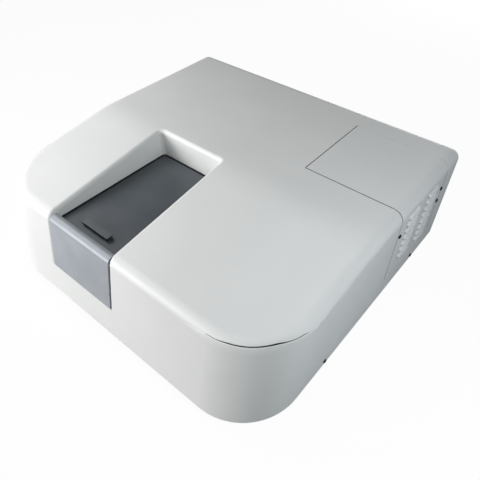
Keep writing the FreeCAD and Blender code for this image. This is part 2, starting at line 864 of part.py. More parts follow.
# Optical bench: a ribbed aluminium plate with a wing under the lamp house, on soft mounts
def make_bench():
    half = "(%s - dim.bench_inset)" % SIDE
    front = "(-%s + dim.bench_setback)" % REAR
    width = "2 * " + half
    plate = box(
        "bench_plate", "-" + half, front, BENCH_LOW, width,
        "dim.bench_rear - " + front, "dim.bench_thick",
    )
    wing = box(
        "bench_wing", "dim.bench_wing_left", "0", BENCH_LOW,
        HOUSE_RIGHT + " - dim.bench_wing_left", "dim.bench_wing_rear", "dim.bench_thick",
    )
    ribs = []
    for i in range(3):
        ribs.append(box(
            "bench_rib_%d" % i, "-%s + dim.isolator_inset * 2" % half,
            "%s + dim.isolator_inset + %d * dim.rib_pitch" % (front, i),
            "%s - dim.isolator_height / 2" % BENCH_LOW, width + " - dim.isolator_inset * 4",
            "dim.mono_wall", "dim.isolator_height / 2",
        ))
    piece(fuse("Bench", plate, wing, *ribs), "optical_bench")
    mounts = []
    inset = "dim.isolator_inset"
    for name, x, y in (
        ("front_left", "-%s + %s" % (half, inset), "%s + %s" % (front, inset)),
        ("front_right", "%s - %s" % (half, inset), "%s + %s" % (front, inset)),
        ("rear_left", "-%s + %s" % (half, inset), "dim.bench_rear - " + inset),
        ("rear_right", "%s - %s" % (half, inset), "dim.bench_wing_rear - " + inset),
    ):
        mounts.append(rod("isolator_" + name, x, y, PAN_FLOOR, "dim.isolator_radius", "dim.isolator_height"))
    piece(group("Isolators", *mounts), "bench_isolators")


TUB_LEFT = "(%s + dim.tub_side)" % RECESS_LEFT
TUB_RIGHT = "(%s - dim.tub_side)" % RECESS_RIGHT
BEAMS = (("sample", "-dim.sample_beam"), ("reference", "-dim.reference_beam"))


# Sample compartment: a black tub with flanges that carry the lid's rails, windows and cell holders
def make_tub():
    length = "(-dim.tub_rear - %s)" % TUB_FRONT
    height = "%s - %s" % (RAIL_LOW, BENCH)
    width = "dim.recess_width - 2 * dim.tub_side"
    shell = box("tub_out", TUB_LEFT, TUB_FRONT, BENCH, width, length, height)
    flange = box(
        "tub_flange_sheet", rail_left("left"), TUB_FRONT, "%s - dim.tub_wall" % RAIL_LOW,
        "dim.recess_width + 2 * (dim.wall + dim.pan_gap + dim.rail_width)", length, "dim.tub_wall",
    )
    space = box(
        "tub_in", TUB_LEFT + " + dim.tub_wall", TUB_FRONT + " + dim.tub_wall", BENCH + " + dim.tub_wall",
        width + " - 2 * dim.tub_wall", length + " - 2 * dim.tub_wall", "dim.case_depth",
    )
    mouth = box(
        "tub_mouth", TUB_LEFT + " + dim.tub_wall", "-dim.case_depth", "dim.tub_sill",
        width + " - 2 * dim.tub_wall", "dim.case_depth + %s + 2 * dim.tub_wall" % TUB_FRONT,
        "dim.case_depth",
    )
    holes = []
    windows = []
    for beam, y in BEAMS:
        holes.append(rod(
            beam + "_window_hole", "-dim.case_width / 2", y, "dim.beam_height",
            "dim.window_radius - dim.window_lap", "dim.case_width", "x",
        ))
        for side, x in (("left", TUB_LEFT + " - dim.window_thick"), ("right", TUB_RIGHT)):
            windows.append(rod(
                "%s_window_%s" % (beam, side), x, y, "dim.beam_height", "dim.window_radius",
                "dim.window_thick", "x",
            ))
    piece(cut("Tub", fuse("tub_body", shell, flange), space, mouth, *holes), "sample_tub")
    piece(group("Windows", *windows), "beam_windows")


def make_cell_holders():
    floor = BENCH + " + dim.tub_wall"
    margin = "dim.holder_side"
    piece(box(
        "HolderBase", "-dim.recess_middle - dim.holder_base_width / 2", "-dim.sample_beam - " + margin, floor,
        "dim.holder_base_width", "dim.sample_beam - dim.reference_beam + 2 * " + margin,
        "dim.holder_base_thick",
    ), "holder_base")
    seat = "(%s + dim.holder_base_thick)" % floor
    for beam, y in BEAMS:
        block = box(
            beam + "_block", "-dim.recess_middle - dim.holder_side / 2", y + " - dim.holder_side / 2", seat,
            "dim.holder_side", "dim.holder_side", "dim.holder_top - " + seat,
        )
        pocket = box(
            beam + "_pocket", "-dim.recess_middle - dim.pocket_side / 2", y + " - dim.pocket_side / 2",
            "dim.pocket_floor", "dim.pocket_side", "dim.pocket_side", "dim.holder_top",
        )
        beam_hole = rod(
            beam + "_beam_hole", "-dim.recess_middle - dim.holder_side", y, "dim.beam_height",
            "dim.beam_hole", "2 * dim.holder_side", "x",
        )
        piece(cut("Holder_" + beam, block, pocket, beam_hole), beam + "_cell_holder")


make_screws()
make_base_pan()
make_feet()
make_rear_panel()
make_connector_plate()
make_front_panel()
make_lid()
make_rails()
make_bench()
make_tub()
make_cell_holders()


# Monochromator: cast box with a screwed lid, holding slits, mirrors and the grating
def make_monochromator():
    length = "dim.mono_rear + dim.mono_front"
    width = "dim.mono_right - dim.mono_left"
    out = box("mono_out", "dim.mono_left", "-dim.mono_front", BENCH, width, length, "dim.mono_top - " + BENCH)
    space = box(
        "mono_in", "dim.mono_left + dim.mono_wall", "-dim.mono_front + dim.mono_wall",
        BENCH + " + dim.mono_wall",
        width + " - 2 * dim.mono_wall", length + " - 2 * dim.mono_wall", "dim.mono_top",
    )
    entrance = rod(
        "entrance_hole", "dim.beam_x", "dim.mono_rear - 2 * dim.mono_wall", "dim.beam_height",
        "dim.slit_radius - dim.window_lap", "dim.mono_wall * 3", "y",
    )
    outlet = rod(
        "exit_hole", "dim.mono_left - dim.mono_wall", "-dim.reference_beam", "dim.beam_height",
        "dim.slit_radius - dim.window_lap", "dim.mono_wall * 3", "x",
    )
    piece(cut("Casting", out, space, entrance, outlet), "monochromator_casting")
    piece(box(
        "MonoLid", "dim.mono_left", "-dim.mono_front", "dim.mono_top", width, length, "dim.mono_lid",
    ), "monochromator_cover")
    plate = rod(
        "entrance_plate", "dim.beam_x", "dim.mono_rear - dim.mono_wall - dim.slit_thick", "dim.beam_height",
        "dim.slit_radius", "dim.slit_thick", "y",
    )
    gap = box(
        "entrance_gap", "dim.beam_x - dim.slit_width / 2", "0", "dim.beam_height - dim.slit_height / 2",
        "dim.slit_width", "dim.mono_rear", "dim.slit_height",
    )
    piece(cut("EntranceSlit", plate, gap), "entrance_slit")
    plate = rod(
        "exit_plate", "dim.mono_left + dim.mono_wall", "-dim.reference_beam", "dim.beam_height",
        "dim.slit_radius", "dim.slit_thick", "x",
    )
    gap = box(
        "exit_gap", "dim.mono_left", "-dim.reference_beam - dim.slit_width / 2",
        "dim.beam_height - dim.slit_height / 2",
        "dim.mono_left", "dim.slit_width", "dim.slit_height",
    )
    piece(cut("ExitSlit", plate, gap), "exit_slit")


# Round mirror on a post: its face looks along local +X, from the origin of its foot
def mirror_on_post(name, x, y, angle, radius, floor, thick="dim.mirror_thick"):
    rise = "(dim.beam_height - %s)" % floor
    disc = rod(name + "_disc", "-" + thick, "0", rise, radius, thick, "x")
    post = box(
        name + "_post", "-%s * 2" % thick, "-dim.post_width / 2", "0", thick, "dim.post_width",
        rise + " + " + radius + " / 2",
    )
    foot = box(
        name + "_foot", "-%s * 2 - dim.post_foot / 3" % thick, "-dim.post_foot / 2", "0",
        "dim.post_foot / 3 + " + thick, "dim.post_foot", "dim.post_foot_thick",
    )
    made = fuse(name, disc, post, foot)
    return lay(made, x, y, floor, Turn(V(0, 0, 1), angle))


def make_mirrors():
    floor = "(%s + dim.mono_wall)" % BENCH
    to_grating = value("atan((dim.beam_x - dim.grating_x) / (dim.mirror_front - dim.grating_y))")
    piece(mirror_on_post(
        "Collimator", "dim.beam_x", "-dim.mirror_front", 90 + to_grating / 2, "dim.mirror_radius", floor,
    ), "collimating_mirror")
    piece(mirror_on_post(
        "Camera", "dim.camera_x", "-dim.mirror_front", 90 - to_grating / 2, "dim.mirror_radius", floor,
    ), "focusing_mirror")
    piece(mirror_on_post(
        "ExitFold", "dim.camera_x", "-dim.reference_beam", 225, "dim.fold_radius", floor, "dim.swing_thick",
    ), "exit_fold_mirror")
    piece(mirror_on_post(
        "SampleFold", "dim.chopper_x", "-dim.sample_beam", 135, "dim.fold_radius", BENCH, "dim.swing_thick",
    ), "sample_fold_mirror")
    tilt = value("dim.collect_angle")
    for (beam, y), turned in zip(BEAMS, (tilt, -tilt)):
        piece(mirror_on_post(
            "Collect_" + beam, "-dim.collect_x", y, turned, "dim.collect_radius", BENCH,
        ), beam + "_collecting_mirror")


# Grating on its table, turned straight by a flat stepper motor
def make_grating():
    floor = "(%s + dim.mono_wall)" % BENCH
    x = "dim.grating_x"
    y = "-dim.grating_y"
    half = "dim.motor_side / 2"
    can = box(
        "grating_can", "%s - %s" % (x, half), "%s - %s" % (y, half), floor, "dim.motor_side",
        "dim.motor_side", "dim.motor_height",
    )
    bore = rod(
        "grating_bore", x, y, floor + " + dim.mono_wall", "dim.spindle_radius + dim.spindle_gap",
        "dim.motor_height * 2",
    )
    piece(cut("GratingMotor", can, bore), "grating_motor")
    top = "(%s + dim.motor_height + dim.table_lift)" % floor
    spindle_low = "(%s + dim.mono_wall + dim.slit_thick)" % floor
    spindle = rod("grating_spindle", x, y, spindle_low, "dim.spindle_radius", top + " - " + spindle_low)
    table = rod("grating_table", x, y, top, "dim.table_radius", "dim.table_thick")
    seat = top + " + dim.table_thick"
    back = box(
        "grating_back", x + " - dim.grating_side / 2", y + " + dim.grating_thick / 2", seat,
        "dim.grating_side", "dim.grating_thick / 2", "dim.beam_height + dim.grating_side / 3 - (%s)" % seat,
    )
    piece(fuse("GratingTable", spindle, table, back), "grating_turntable")
    low = seat + " + dim.grating_lift"
    piece(box(
        "Ruling", x + " - dim.grating_side / 2", y + " - dim.grating_thick / 2", low,
        "dim.grating_side", "dim.grating_thick", "dim.beam_height + dim.grating_side / 2 - (%s)" % low,
    ), "diffraction_grating")


# Filter wheel in front of the entrance slit, on its small motor
def make_filters():
    wheel_z = "(dim.beam_height - dim.filter_circle)"
    motor = rod(
        "filter_can", "dim.beam_x", "dim.mono_rear", wheel_z, "dim.filter_motor_radius",
        "dim.filter_motor_length", "y",
    )
    bore = rod(
        "filter_bore", "dim.beam_x", "dim.mono_rear + dim.filter_gap", wheel_z,
        "dim.spindle_radius + dim.spindle_gap", "dim.filter_motor_length", "y",
    )
    piece(cut("FilterMotor", motor, bore), "filter_motor")
    face = "(dim.mono_rear + dim.filter_motor_length + dim.filter_gap)"
    disc = rod("filter_disc", "dim.beam_x", face, wheel_z, "dim.filter_radius", "dim.filter_thick", "y")
    spindle = rod(
        "filter_spindle", "dim.beam_x", "dim.mono_rear + dim.filter_gap + dim.slit_thick", wheel_z,
        "dim.spindle_radius", "dim.filter_motor_length - dim.slit_thick", "y",
    )
    holes = []
    glasses = []
    count = int(value("dim.filter_count"))
    for i in range(count):
        turn = "%d * 360 / dim.filter_count" % i
        x = "dim.beam_x + dim.filter_circle * sin(%s)" % turn
        z = "%s + dim.filter_circle * cos(%s)" % (wheel_z, turn)
        holes.append(rod(
            "filter_hole_%d" % i, x, face + " - dim.filter_gap", z, "dim.filter_hole",
            "dim.filter_thick * 3", "y",
        ))
        if i > 0:
            glasses.append(rod("filter_glass_%d" % i, x, face, z, "dim.filter_hole", "dim.filter_glass", "y"))
    piece(cut("FilterWheel", fuse("filter_wheel_body", disc, spindle), *holes), "filter_wheel")
    piece(group("Filters", *glasses), "order_filters")


# Chopper: a half mirror disc across the beam, which passes it and folds it by turns
def make_chopper():
    across = Turn(V(0, 0, 1), -45).multiply(AXES["x"])
    height = "(%s + dim.chopper_radius + dim.chopper_clear)" % BENCH
    disc = rod("chopper_blank", "0", "0", "0", "dim.chopper_radius", "dim.chopper_thick")
    windows = []
    for sign_x, sign_y in (("0", "0"), ("-dim.chopper_radius", "-dim.chopper_radius")):
        windows.append(box(
            "chopper_window", sign_x, sign_y, "-dim.chopper_thick", "dim.chopper_radius",
            "dim.chopper_radius", "dim.chopper_thick * 3",
        ))
    hub = rod("chopper_hub", "0", "0", "0", "dim.chopper_hub", "dim.chopper_thick")
    spindle = rod(
        "chopper_spindle", "0", "0", "-dim.chopper_shaft",
        "dim.spindle_radius", "dim.chopper_shaft",
    )
    blades = fuse("ChopperDisc", cut("chopper_blades", disc, *windows), hub, spindle)
    piece(lay(blades, "dim.chopper_x", "-dim.reference_beam", height, across), "chopper_disc")
    can = rod(
        "chopper_can", "0", "0", "-dim.chopper_gap - dim.chopper_motor_length",
        "dim.chopper_motor_radius", "dim.chopper_motor_length",
    )
    drop = "(dim.chopper_radius + dim.chopper_clear)"
    stand = box(
        "chopper_stand", "0", "-dim.chopper_motor_radius", "-dim.chopper_gap - dim.chopper_motor_length",
        drop, "2 * dim.chopper_motor_radius", "dim.chopper_foot",
    )
    bore = rod(
        "chopper_bore", "0", "0", "-dim.chopper_gap - dim.chopper_motor_length + dim.chopper_foot",
        "dim.spindle_radius + dim.spindle_gap", "dim.chopper_motor_length",
    )
    motor = cut("ChopperMotor", fuse("chopper_motor_body", can, stand), bore)
    piece(lay(motor, "dim.chopper_x", "-dim.reference_beam", height, across), "chopper_motor")


# Lamp house: heat shield with both lamps, their sockets and the swing mirror that picks between them
def make_lamp_house():
    width = HOUSE_RIGHT + " - dim.house_left"
    length = "dim.house_rear - dim.house_front"
    out = box(
        "house_out", "dim.house_left", "dim.house_front", BENCH, width, length,
        "dim.house_top - " + BENCH,
    )
    space = box(
        "house_in", "dim.house_left + dim.house_wall", "dim.house_front + dim.house_wall",
        BENCH + " + dim.house_wall",
        width + " - 2 * dim.house_wall", length + " - 2 * dim.house_wall", "dim.case_depth",
    )
    window = rod(
        "house_window_hole", "dim.beam_x", "0", "dim.beam_height", "dim.house_window",
        "dim.house_front * 1.5", "y",
    )
    rear_vent = box(
        "house_rear_vent", FAN_X + " - dim.house_vent / 2", "dim.house_rear - 2 * dim.house_wall",
        "dim.fan_z - dim.house_vent / 2", "dim.house_vent", "3 * dim.house_wall", "dim.house_vent",
    )
    side_vent = box(
        "house_side_vent", HOUSE_RIGHT + " - 2 * dim.house_wall",
        "(dim.house_front + dim.house_rear - dim.house_vent) / 2",
        "dim.fan_z - dim.house_vent / 2", "3 * dim.house_wall", "dim.house_vent", "dim.house_vent",
    )
    piece(cut("House", out, space, window, rear_vent, side_vent), "lamp_house")
    floor = "(%s + dim.house_wall)" % BENCH
    glass_low = "(dim.beam_height - dim.lamp_length / 2)"
    half = "dim.lamp_socket / 2"
    piece(box(
        "LampSocket", "dim.lamp_x - " + half, "dim.lamp_y - " + half, floor, "dim.lamp_socket",
        "dim.lamp_socket",
        glass_low + " - dim.lamp_flange_thick - " + floor,
    ), "deuterium_socket")
    flange = rod(
        "lamp_flange_disc", "dim.lamp_x", "dim.lamp_y", glass_low + " - dim.lamp_flange_thick",
        "dim.lamp_flange", "dim.lamp_flange_thick",
    )
    glass = rod(
        "lamp_glass", "dim.lamp_x", "dim.lamp_y", glass_low, "dim.lamp_radius",
        "dim.lamp_length - dim.lamp_radius",
    )
    dome = doc.addObject("Part::Sphere", "lamp_dome")
    bind(dome, Radius="dim.lamp_radius")
    lay(dome, "dim.lamp_x", "dim.lamp_y", glass_low + " + dim.lamp_length - dim.lamp_radius")
    piece(fuse("DeuteriumLamp", flange, glass, dome), "deuterium_lamp")
    bulb_low = "(dim.beam_height - dim.bulb_length / 2)"
    half = "dim.bulb_socket / 2"
    piece(box(
        "BulbSocket", "dim.beam_x - " + half, "dim.bulb_y - " + half, floor, "dim.bulb_socket",
        "dim.bulb_socket", bulb_low + " - " + floor,
    ), "halogen_socket")
    glass = rod("bulb_glass", "dim.beam_x", "dim.bulb_y", bulb_low, "dim.bulb_radius", "dim.bulb_length")
    dome = doc.addObject("Part::Sphere", "bulb_dome")
    bind(dome, Radius="dim.bulb_radius")
    lay(dome, "dim.beam_x", "dim.bulb_y", bulb_low + " + dim.bulb_length")
    piece(fuse("HalogenLamp", glass, dome), "halogen_lamp")


SWING_X = "(dim.beam_x + dim.swing_arm * cos(45))"
SWING_Y = "(dim.lamp_y - dim.swing_arm * cos(45))"


def make_swing_mirror():
    floor = "(%s + dim.house_wall)" % BENCH
    can = rod("swing_can", SWING_X, SWING_Y, floor, "dim.swing_motor_radius", "dim.swing_motor_height")
    bore = rod(
        "swing_bore", SWING_X, SWING_Y, floor + " + dim.house_wall",
        "dim.spindle_radius + dim.spindle_gap", "dim.swing_motor_height * 2",
    )
    piece(cut("SwingMotor", can, bore), "lamp_change_motor")
    low = "(%s + dim.house_wall + dim.slit_thick)" % floor
    top = "(dim.beam_height + dim.swing_mirror / 2)"
    spindle = rod("swing_spindle", "0", "0", low, "dim.spindle_radius", top + " - " + low)
    plate = box(
        "swing_plate", "0", "-dim.swing_thick / 2", "dim.beam_height - dim.swing_mirror / 2",
        "dim.swing_arm + dim.swing_mirror / 2", "dim.swing_thick", "dim.swing_mirror",
    )
    arm = fuse("SwingMirror", spindle, plate)
    piece(lay(arm, SWING_X, SWING_Y, "0", Turn(V(0, 0, 1), 135)), "lamp_change_mirror")


# Detector: photomultiplier tube in its socket, inside a shielding box with a window toward the mirrors
def make_detector():
    y = "-(dim.sample_beam + dim.reference_beam) / 2"
    half = "dim.tube_box / 2"
    out = box(
        "tube_box_out", "-dim.tube_x - " + half, y + " - " + half, BENCH, "dim.tube_box", "dim.tube_box",
        "dim.tube_socket + dim.tube_length + 2 * dim.tube_box_wall",
    )
    inside = "(dim.tube_box - 2 * dim.tube_box_wall)"
    space = box(
        "tube_box_in", "-dim.tube_x - %s / 2" % inside, "%s - %s / 2" % (y, inside),
        BENCH + " + dim.tube_box_wall",
        inside, inside, "dim.tube_socket + dim.tube_length",
    )
    window = rod(
        "tube_window", "-dim.tube_x - dim.tube_box", y, "dim.beam_height", "dim.window_radius",
        "dim.tube_box", "x",
    )
    piece(cut("TubeBox", out, space, window), "detector_box")
    base = BENCH + " + dim.tube_box_wall"
    piece(rod(
        "TubeSocket", "-dim.tube_x", y, base, "dim.tube_radius + dim.window_lap", "dim.tube_socket",
    ), "detector_socket")
    glass = rod(
        "tube_glass", "-dim.tube_x", y, base + " + dim.tube_socket", "dim.tube_radius",
        "dim.tube_length - dim.window_thick",
    )
    piece(glass, "photomultiplier")


# Electronics: main board between the rail brackets, power supply between them and the left side
def make_electronics():
    rear = "(%s - dim.rear_clear)" % PANEL_IN
    left = "(%s + 2 * dim.rail_width + dim.board_clear)" % rail_left("left")
    right = "(%s - dim.rail_width - dim.board_clear)" % rail_left("right")
    front = "(%s - dim.board_length)" % rear
    board_z = "(%s + dim.standoff_height)" % PAN_FLOOR
    board = box(
        "board_sheet", left, front, board_z, "%s - %s" % (right, left), "dim.board_length",
        "dim.board_thick",
    )
    chips = []
    for i in range(4):
        chips.append(box(
            "board_chip_%d" % i, "%s + dim.chip_margin + %d * dim.chip_pitch_across" % (left, i % 2),
            "%s + dim.chip_margin + %d * dim.chip_pitch_along" % (front, i // 2),
            board_z + " + dim.board_thick", "dim.chip_width", "dim.chip_length", "dim.board_thick * 3",
        ))
    piece(fuse("MainBoard", board, *chips), "main_board")
    inset = " dim.standoff_radius * 2"
    posts = []
    for x in (left + " +" + inset, right + " -" + inset):
        for y in (front + " +" + inset, rear + " -" + inset):
            posts.append(rod("standoff", x, y, PAN_FLOOR, "dim.standoff_radius", "dim.standoff_height"))
    piece(group("Standoffs", *posts), "board_standoffs")
    left = "(-%s + dim.supply_inset)" % SIDE
    width = "(%s - dim.rail_width - dim.supply_clear - %s)" % (rail_left("left"), left)
    front = "(%s - dim.supply_length)" % rear
    case = box(
        "SupplyCase", left, front, PAN_FLOOR, width, "dim.supply_length", "dim.supply_height",
    )
    slots = []
    for i in range(int(value("dim.supply_slots"))):
        slots.append(box(
            "supply_slot_%d" % i, left + " + dim.supply_slot_margin",
            "%s + dim.supply_slot_margin + %d * dim.supply_slot_pitch" % (front, i),
            PAN_FLOOR + " + dim.supply_height - dim.house_wall",
            width + " - 2 * dim.supply_slot_margin", "dim.house_wall * 2", "dim.supply_height",
        ))
    piece(cut("Supply", case, *slots), "power_supply")


# Mains inlet, switch with its rocker, fuse holder and data sockets on the rear panel
def make_rear_fittings():
    z = "dim.fitting_height"

    def shell(name, x, width, height, depth, skin, hollow, lip):
        body = box(
            name + "_body", "%s - %s / 2" % (x, width), PANEL_IN + " - " + depth,
            "%s - %s / 2" % (z, height), width, depth, height,
        )
        flange = box(
            name + "_lip", "%s - %s / 2 - %s" % (x, width, lip), PANEL_IN,
            "%s - %s / 2 - %s" % (z, height, lip),
            "%s + 2 * %s" % (width, lip), skin, "%s + 2 * %s" % (height, lip),
        )
        space = box(
            name + "_hollow", "%s - %s / 2 + %s" % (x, width, skin), "%s + %s - %s" % (PANEL_IN, skin, hollow),
            "%s - %s / 2 + %s" % (z, height, skin), "%s - 2 * %s" % (width, skin), hollow + " * 2",
            "%s - 2 * %s" % (height, skin),
        )
        return cut(name, fuse(name + "_both", body, flange), space)

    socket = shell(
        "InletShell", INLET_X, "dim.inlet_width", "dim.inlet_height", "dim.inlet_depth",
        "dim.inlet_skin", "dim.inlet_hollow", "dim.inlet_flange",
    )
    pins = []
    for offset in ("-dim.inlet_width / 4", "0", "dim.inlet_width / 4"):
        pins.append(box(
            "inlet_pin", "%s + %s - dim.inlet_skin / 2" % (INLET_X, offset),
            PANEL_IN + " + dim.inlet_skin - dim.inlet_hollow",
            z + " - dim.inlet_skin", "dim.inlet_skin", "dim.inlet_hollow / 2", "2 * dim.inlet_skin",
        ))
    piece(fuse("Inlet", socket, *pins), "mains_inlet")
    housing = shell(
        "SwitchShell", SWITCH_X, "dim.switch_width", "dim.switch_height", "dim.switch_depth",
        "dim.inlet_skin", "dim.inlet_hollow", "dim.inlet_skin",
    )
    axle_y = PANEL_IN + " - dim.rocker_thick / 2"
    bearing = rod(
        "rocker_bearing", SWITCH_X + " - dim.switch_width / 2", axle_y, z,
        "dim.rocker_pin + dim.spindle_gap", "dim.switch_width", "x",
    )
    piece(cut("Switch", housing, bearing), "switch_housing")
    inside = "(dim.switch_width - 2 * dim.inlet_skin - 2 * dim.cut_gap)"
    rocker_long = "(dim.switch_height - 2 * dim.inlet_skin - dim.rocker_thick / 2)"
    key = box(
        "rocker_key", "-%s / 2" % inside, "-dim.rocker_thick / 2", "-%s / 2" % rocker_long, inside,
        "dim.rocker_thick", rocker_long,
    )
    axle = rod("rocker_axle", "-dim.switch_width / 2", "0", "0", "dim.rocker_pin", "dim.switch_width", "x")
    rocker = fuse("Rocker", key, axle)
    tilt = Turn(V(1, 0, 0), -value("dim.rocker_tilt"))
    piece(lay(rocker, SWITCH_X, axle_y, z, tilt), "power_rocker")
    barrel = rod(
        "fuse_barrel", FUSE_X, PANEL_IN + " - dim.fuse_length", z, "dim.fuse_radius",
        "dim.fuse_length", "y",
    )
    cap = rod("fuse_cap", FUSE_X, PANEL_IN, z, "dim.fuse_radius + dim.window_lap", "dim.fuse_cap", "y")
    coin = box(
        "fuse_slot", FUSE_X + " - dim.fuse_radius", PANEL_IN + " + dim.fuse_cap - dim.fuse_slot_depth",
        "%s - dim.fuse_slot / 2" % z, "2 * dim.fuse_radius", "dim.fuse_cap", "dim.fuse_slot",
    )
    piece(cut("FuseHolder", fuse("fuse_both", barrel, cap), coin), "fuse_holder")
    ports = []
    for i, x in enumerate(PORTS_X):
        ports.append(shell(
            "Port_%d" % i, x, "dim.port_width", "dim.port_height", "dim.port_depth", "dim.port_skin",
            "dim.port_hollow", "dim.port_skin",
        ))
    piece(group("Ports", *ports), "data_ports")


OUTSIDE = "(%s + dim.rear_panel_thick)" % PANEL_IN


# Cooling fan behind the rear panel, drawing air over the lamp house, with a wire guard outside
def make_fan():
    frame_box = box(
        "fan_box", "-dim.fan_side / 2", "-dim.fan_side / 2", "0", "dim.fan_side", "dim.fan_side",
        "dim.fan_depth",
    )
    bore = rod("fan_tunnel", "0", "0", "-dim.fan_depth", "dim.fan_bore", "dim.fan_depth * 3")
    holes = []
    for across in (FAN_SCREW, "-" + FAN_SCREW):
        for up in (FAN_SCREW, "-" + FAN_SCREW):
            holes.append(rod(
                "fan_screw_hole", across, up, "-dim.fan_depth", "dim.fan_hole", "dim.fan_depth * 3",
            ))
    seat = rod("fan_seat", "0", "0", "0", "dim.fan_hub", "dim.fan_plate")
    struts = [
        box(
            "fan_strut", "-dim.fan_bore - dim.fan_plate / 4", "-dim.fan_plate / 2", "0",
            "2 * dim.fan_bore + dim.fan_plate / 2", "dim.fan_plate", "dim.fan_plate",
        ),
        box(
            "fan_strut", "-dim.fan_plate / 2", "-dim.fan_bore - dim.fan_plate / 4", "0",
            "dim.fan_plate", "2 * dim.fan_bore + dim.fan_plate / 2", "dim.fan_plate",
        ),
    ]
    bearing = rod(
        "fan_bearing", "0", "0", "dim.slit_thick", "dim.spindle_radius + dim.spindle_gap",
        "dim.fan_depth",
    )
    body = fuse("fan_body", cut("fan_ring", frame_box, bore, *holes), seat, *struts)
    frame = cut("FanFrame", body, bearing)
    facing_rear = AXES["y"]
    start = "%s - dim.fan_depth" % PANEL_IN
    piece(lay(frame, FAN_X, start, "dim.fan_z", facing_rear), "fan_frame")
    hub_low = "(dim.fan_plate + dim.slit_thick)"
    hub_long = "(dim.fan_depth - dim.fan_plate - 2 * dim.slit_thick)"
    hub = rod("fan_hub", "0", "0", hub_low, "dim.fan_hub", hub_long)
    spindle = rod("fan_spindle", "0", "0", "1.5 * dim.slit_thick", "dim.spindle_radius", hub_low)
    blades = []
    count = int(value("dim.fan_blades"))
    thick = value("dim.fan_blade_thick")
    depth = value(hub_long)
    chord = (depth - thick - 2 * value("dim.fan_blade_gap")) / value("sin(dim.fan_pitch)")
    for i in range(count):
        around = Turn(V(0, 0, 1), i * 360 / count)
        pitch = Turn(V(1, 0, 0), 90 - value("dim.fan_pitch"))
        blade = doc.addObject("Part::Box", "fan_blade_%d" % i)
        bind(blade, Length="dim.fan_blade - dim.fan_hub / 2", Width="dim.fan_blade_thick")
        blade.Height = chord
        middle = V(value("dim.fan_hub / 2"), 0, value(hub_low) + depth / 2)
        centred = Place(V(0, -thick / 2, -chord / 2), Turn())
        blade.Placement = Place(V(), around) * Place(middle, pitch) * centred
        blades.append(blade)
    rotor = fuse("FanRotor", hub, spindle, *blades)
    piece(lay(rotor, FAN_X, start, "dim.fan_z", facing_rear), "fan_rotor")
    wires = []
    rings = int(value("dim.guard_rings"))
    for i in range(rings):
        ring = doc.addObject("Part::Torus", "guard_ring_%d" % i)
        bind(ring, Radius1="dim.fan_bore * %d / dim.guard_rings" % (i + 1), Radius2="dim.guard_wire")
        wires.append(lay(ring, "0", "0", "dim.guard_wire"))
    for angle in (45, 135):
        bar = doc.addObject("Part::Box", "guard_bar")
        bind(
            bar, Length="dim.guard_span", Width="dim.guard_wire * 2",
            Height="dim.guard_wire * 2",
        )
        long = value("dim.guard_span")
        wire = value("dim.guard_wire")
        bar.Placement = Place(V(), Turn(V(0, 0, 1), angle)) * Place(V(-long / 2, -wire, 0), Turn())
        wires.append(bar)
    guard = fuse("Guard", *wires)
    piece(lay(guard, FAN_X, OUTSIDE, "dim.fan_z", facing_rear), "fan_guard")


make_monochromator()
make_mirrors()
make_grating()
make_filters()
make_chopper()
make_lamp_house()
make_swing_mirror()
make_detector()
make_electronics()
make_rear_fittings()
make_fan()
doc.recompute()

for obj in doc.Objects:
    if "Invalid" in obj.State or "Error" in obj.State:
        raise RuntimeError("%s failed: %s" % (obj.Name, obj.State))
for made in pieces:
    if made.Shape.isNull() or not made.Shape.isValid() or not made.Shape.Solids:
        raise RuntimeError("%s has no valid solid" % made.Label)

os.makedirs("parts", exist_ok=True)
for made in pieces:
    made.Shape.exportStep("parts/%s.step" % made.Label)
    bounds = made.Shape.optimalBoundingBox()
    print("%-28s %2d solids, volume %10.0f, z %.1f to %.1f" % (
        made.Label, len(made.Shape.Solids), made.Shape.Volume, bounds.ZMin, bounds.ZMax))
print(len(pieces), "sub-parts")
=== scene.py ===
"""Double beam spectrophotometer: its looks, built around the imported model."""
import math

import bmesh
import bpy
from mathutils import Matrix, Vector


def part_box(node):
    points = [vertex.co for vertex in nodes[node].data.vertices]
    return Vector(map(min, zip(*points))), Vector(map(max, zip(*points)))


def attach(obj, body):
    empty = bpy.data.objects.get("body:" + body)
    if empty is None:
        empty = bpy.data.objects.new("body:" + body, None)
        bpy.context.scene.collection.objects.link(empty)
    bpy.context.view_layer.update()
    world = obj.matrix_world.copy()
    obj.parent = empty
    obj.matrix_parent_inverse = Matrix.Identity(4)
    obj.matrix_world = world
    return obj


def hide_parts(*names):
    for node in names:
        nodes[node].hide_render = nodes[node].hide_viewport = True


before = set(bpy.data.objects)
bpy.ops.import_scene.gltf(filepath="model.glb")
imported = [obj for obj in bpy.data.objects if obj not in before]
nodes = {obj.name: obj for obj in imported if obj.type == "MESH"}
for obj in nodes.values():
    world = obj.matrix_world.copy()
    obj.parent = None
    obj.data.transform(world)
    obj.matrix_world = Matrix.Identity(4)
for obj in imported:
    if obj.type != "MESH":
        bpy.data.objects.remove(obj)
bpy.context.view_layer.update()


# Camera: stands to the right of the instrument's front and looks down at it at 45 degrees,
# as a product photographer would for a view into the compartment's recess.
MM = 0.001
CAMERA_PLACE = (446.7, -488.1, 669.3)
CAMERA_TURN = 40.0
CAMERA_DOWN = 45.0
LENS = 35.48
SENSOR = 36
NEAREST = 0.01
eye = bpy.data.objects.new("camera", bpy.data.cameras.new("camera"))
bpy.context.scene.collection.objects.link(eye)
eye.location = [number * MM for number in CAMERA_PLACE]
eye.rotation_euler = (math.radians(90 - CAMERA_DOWN), 0, math.radians(CAMERA_TURN))
eye.data.lens = LENS
eye.data.sensor_width = SENSOR
eye.data.clip_start = NEAREST
bpy.context.scene.camera = eye
bpy.context.scene.view_settings.view_transform = "Standard"


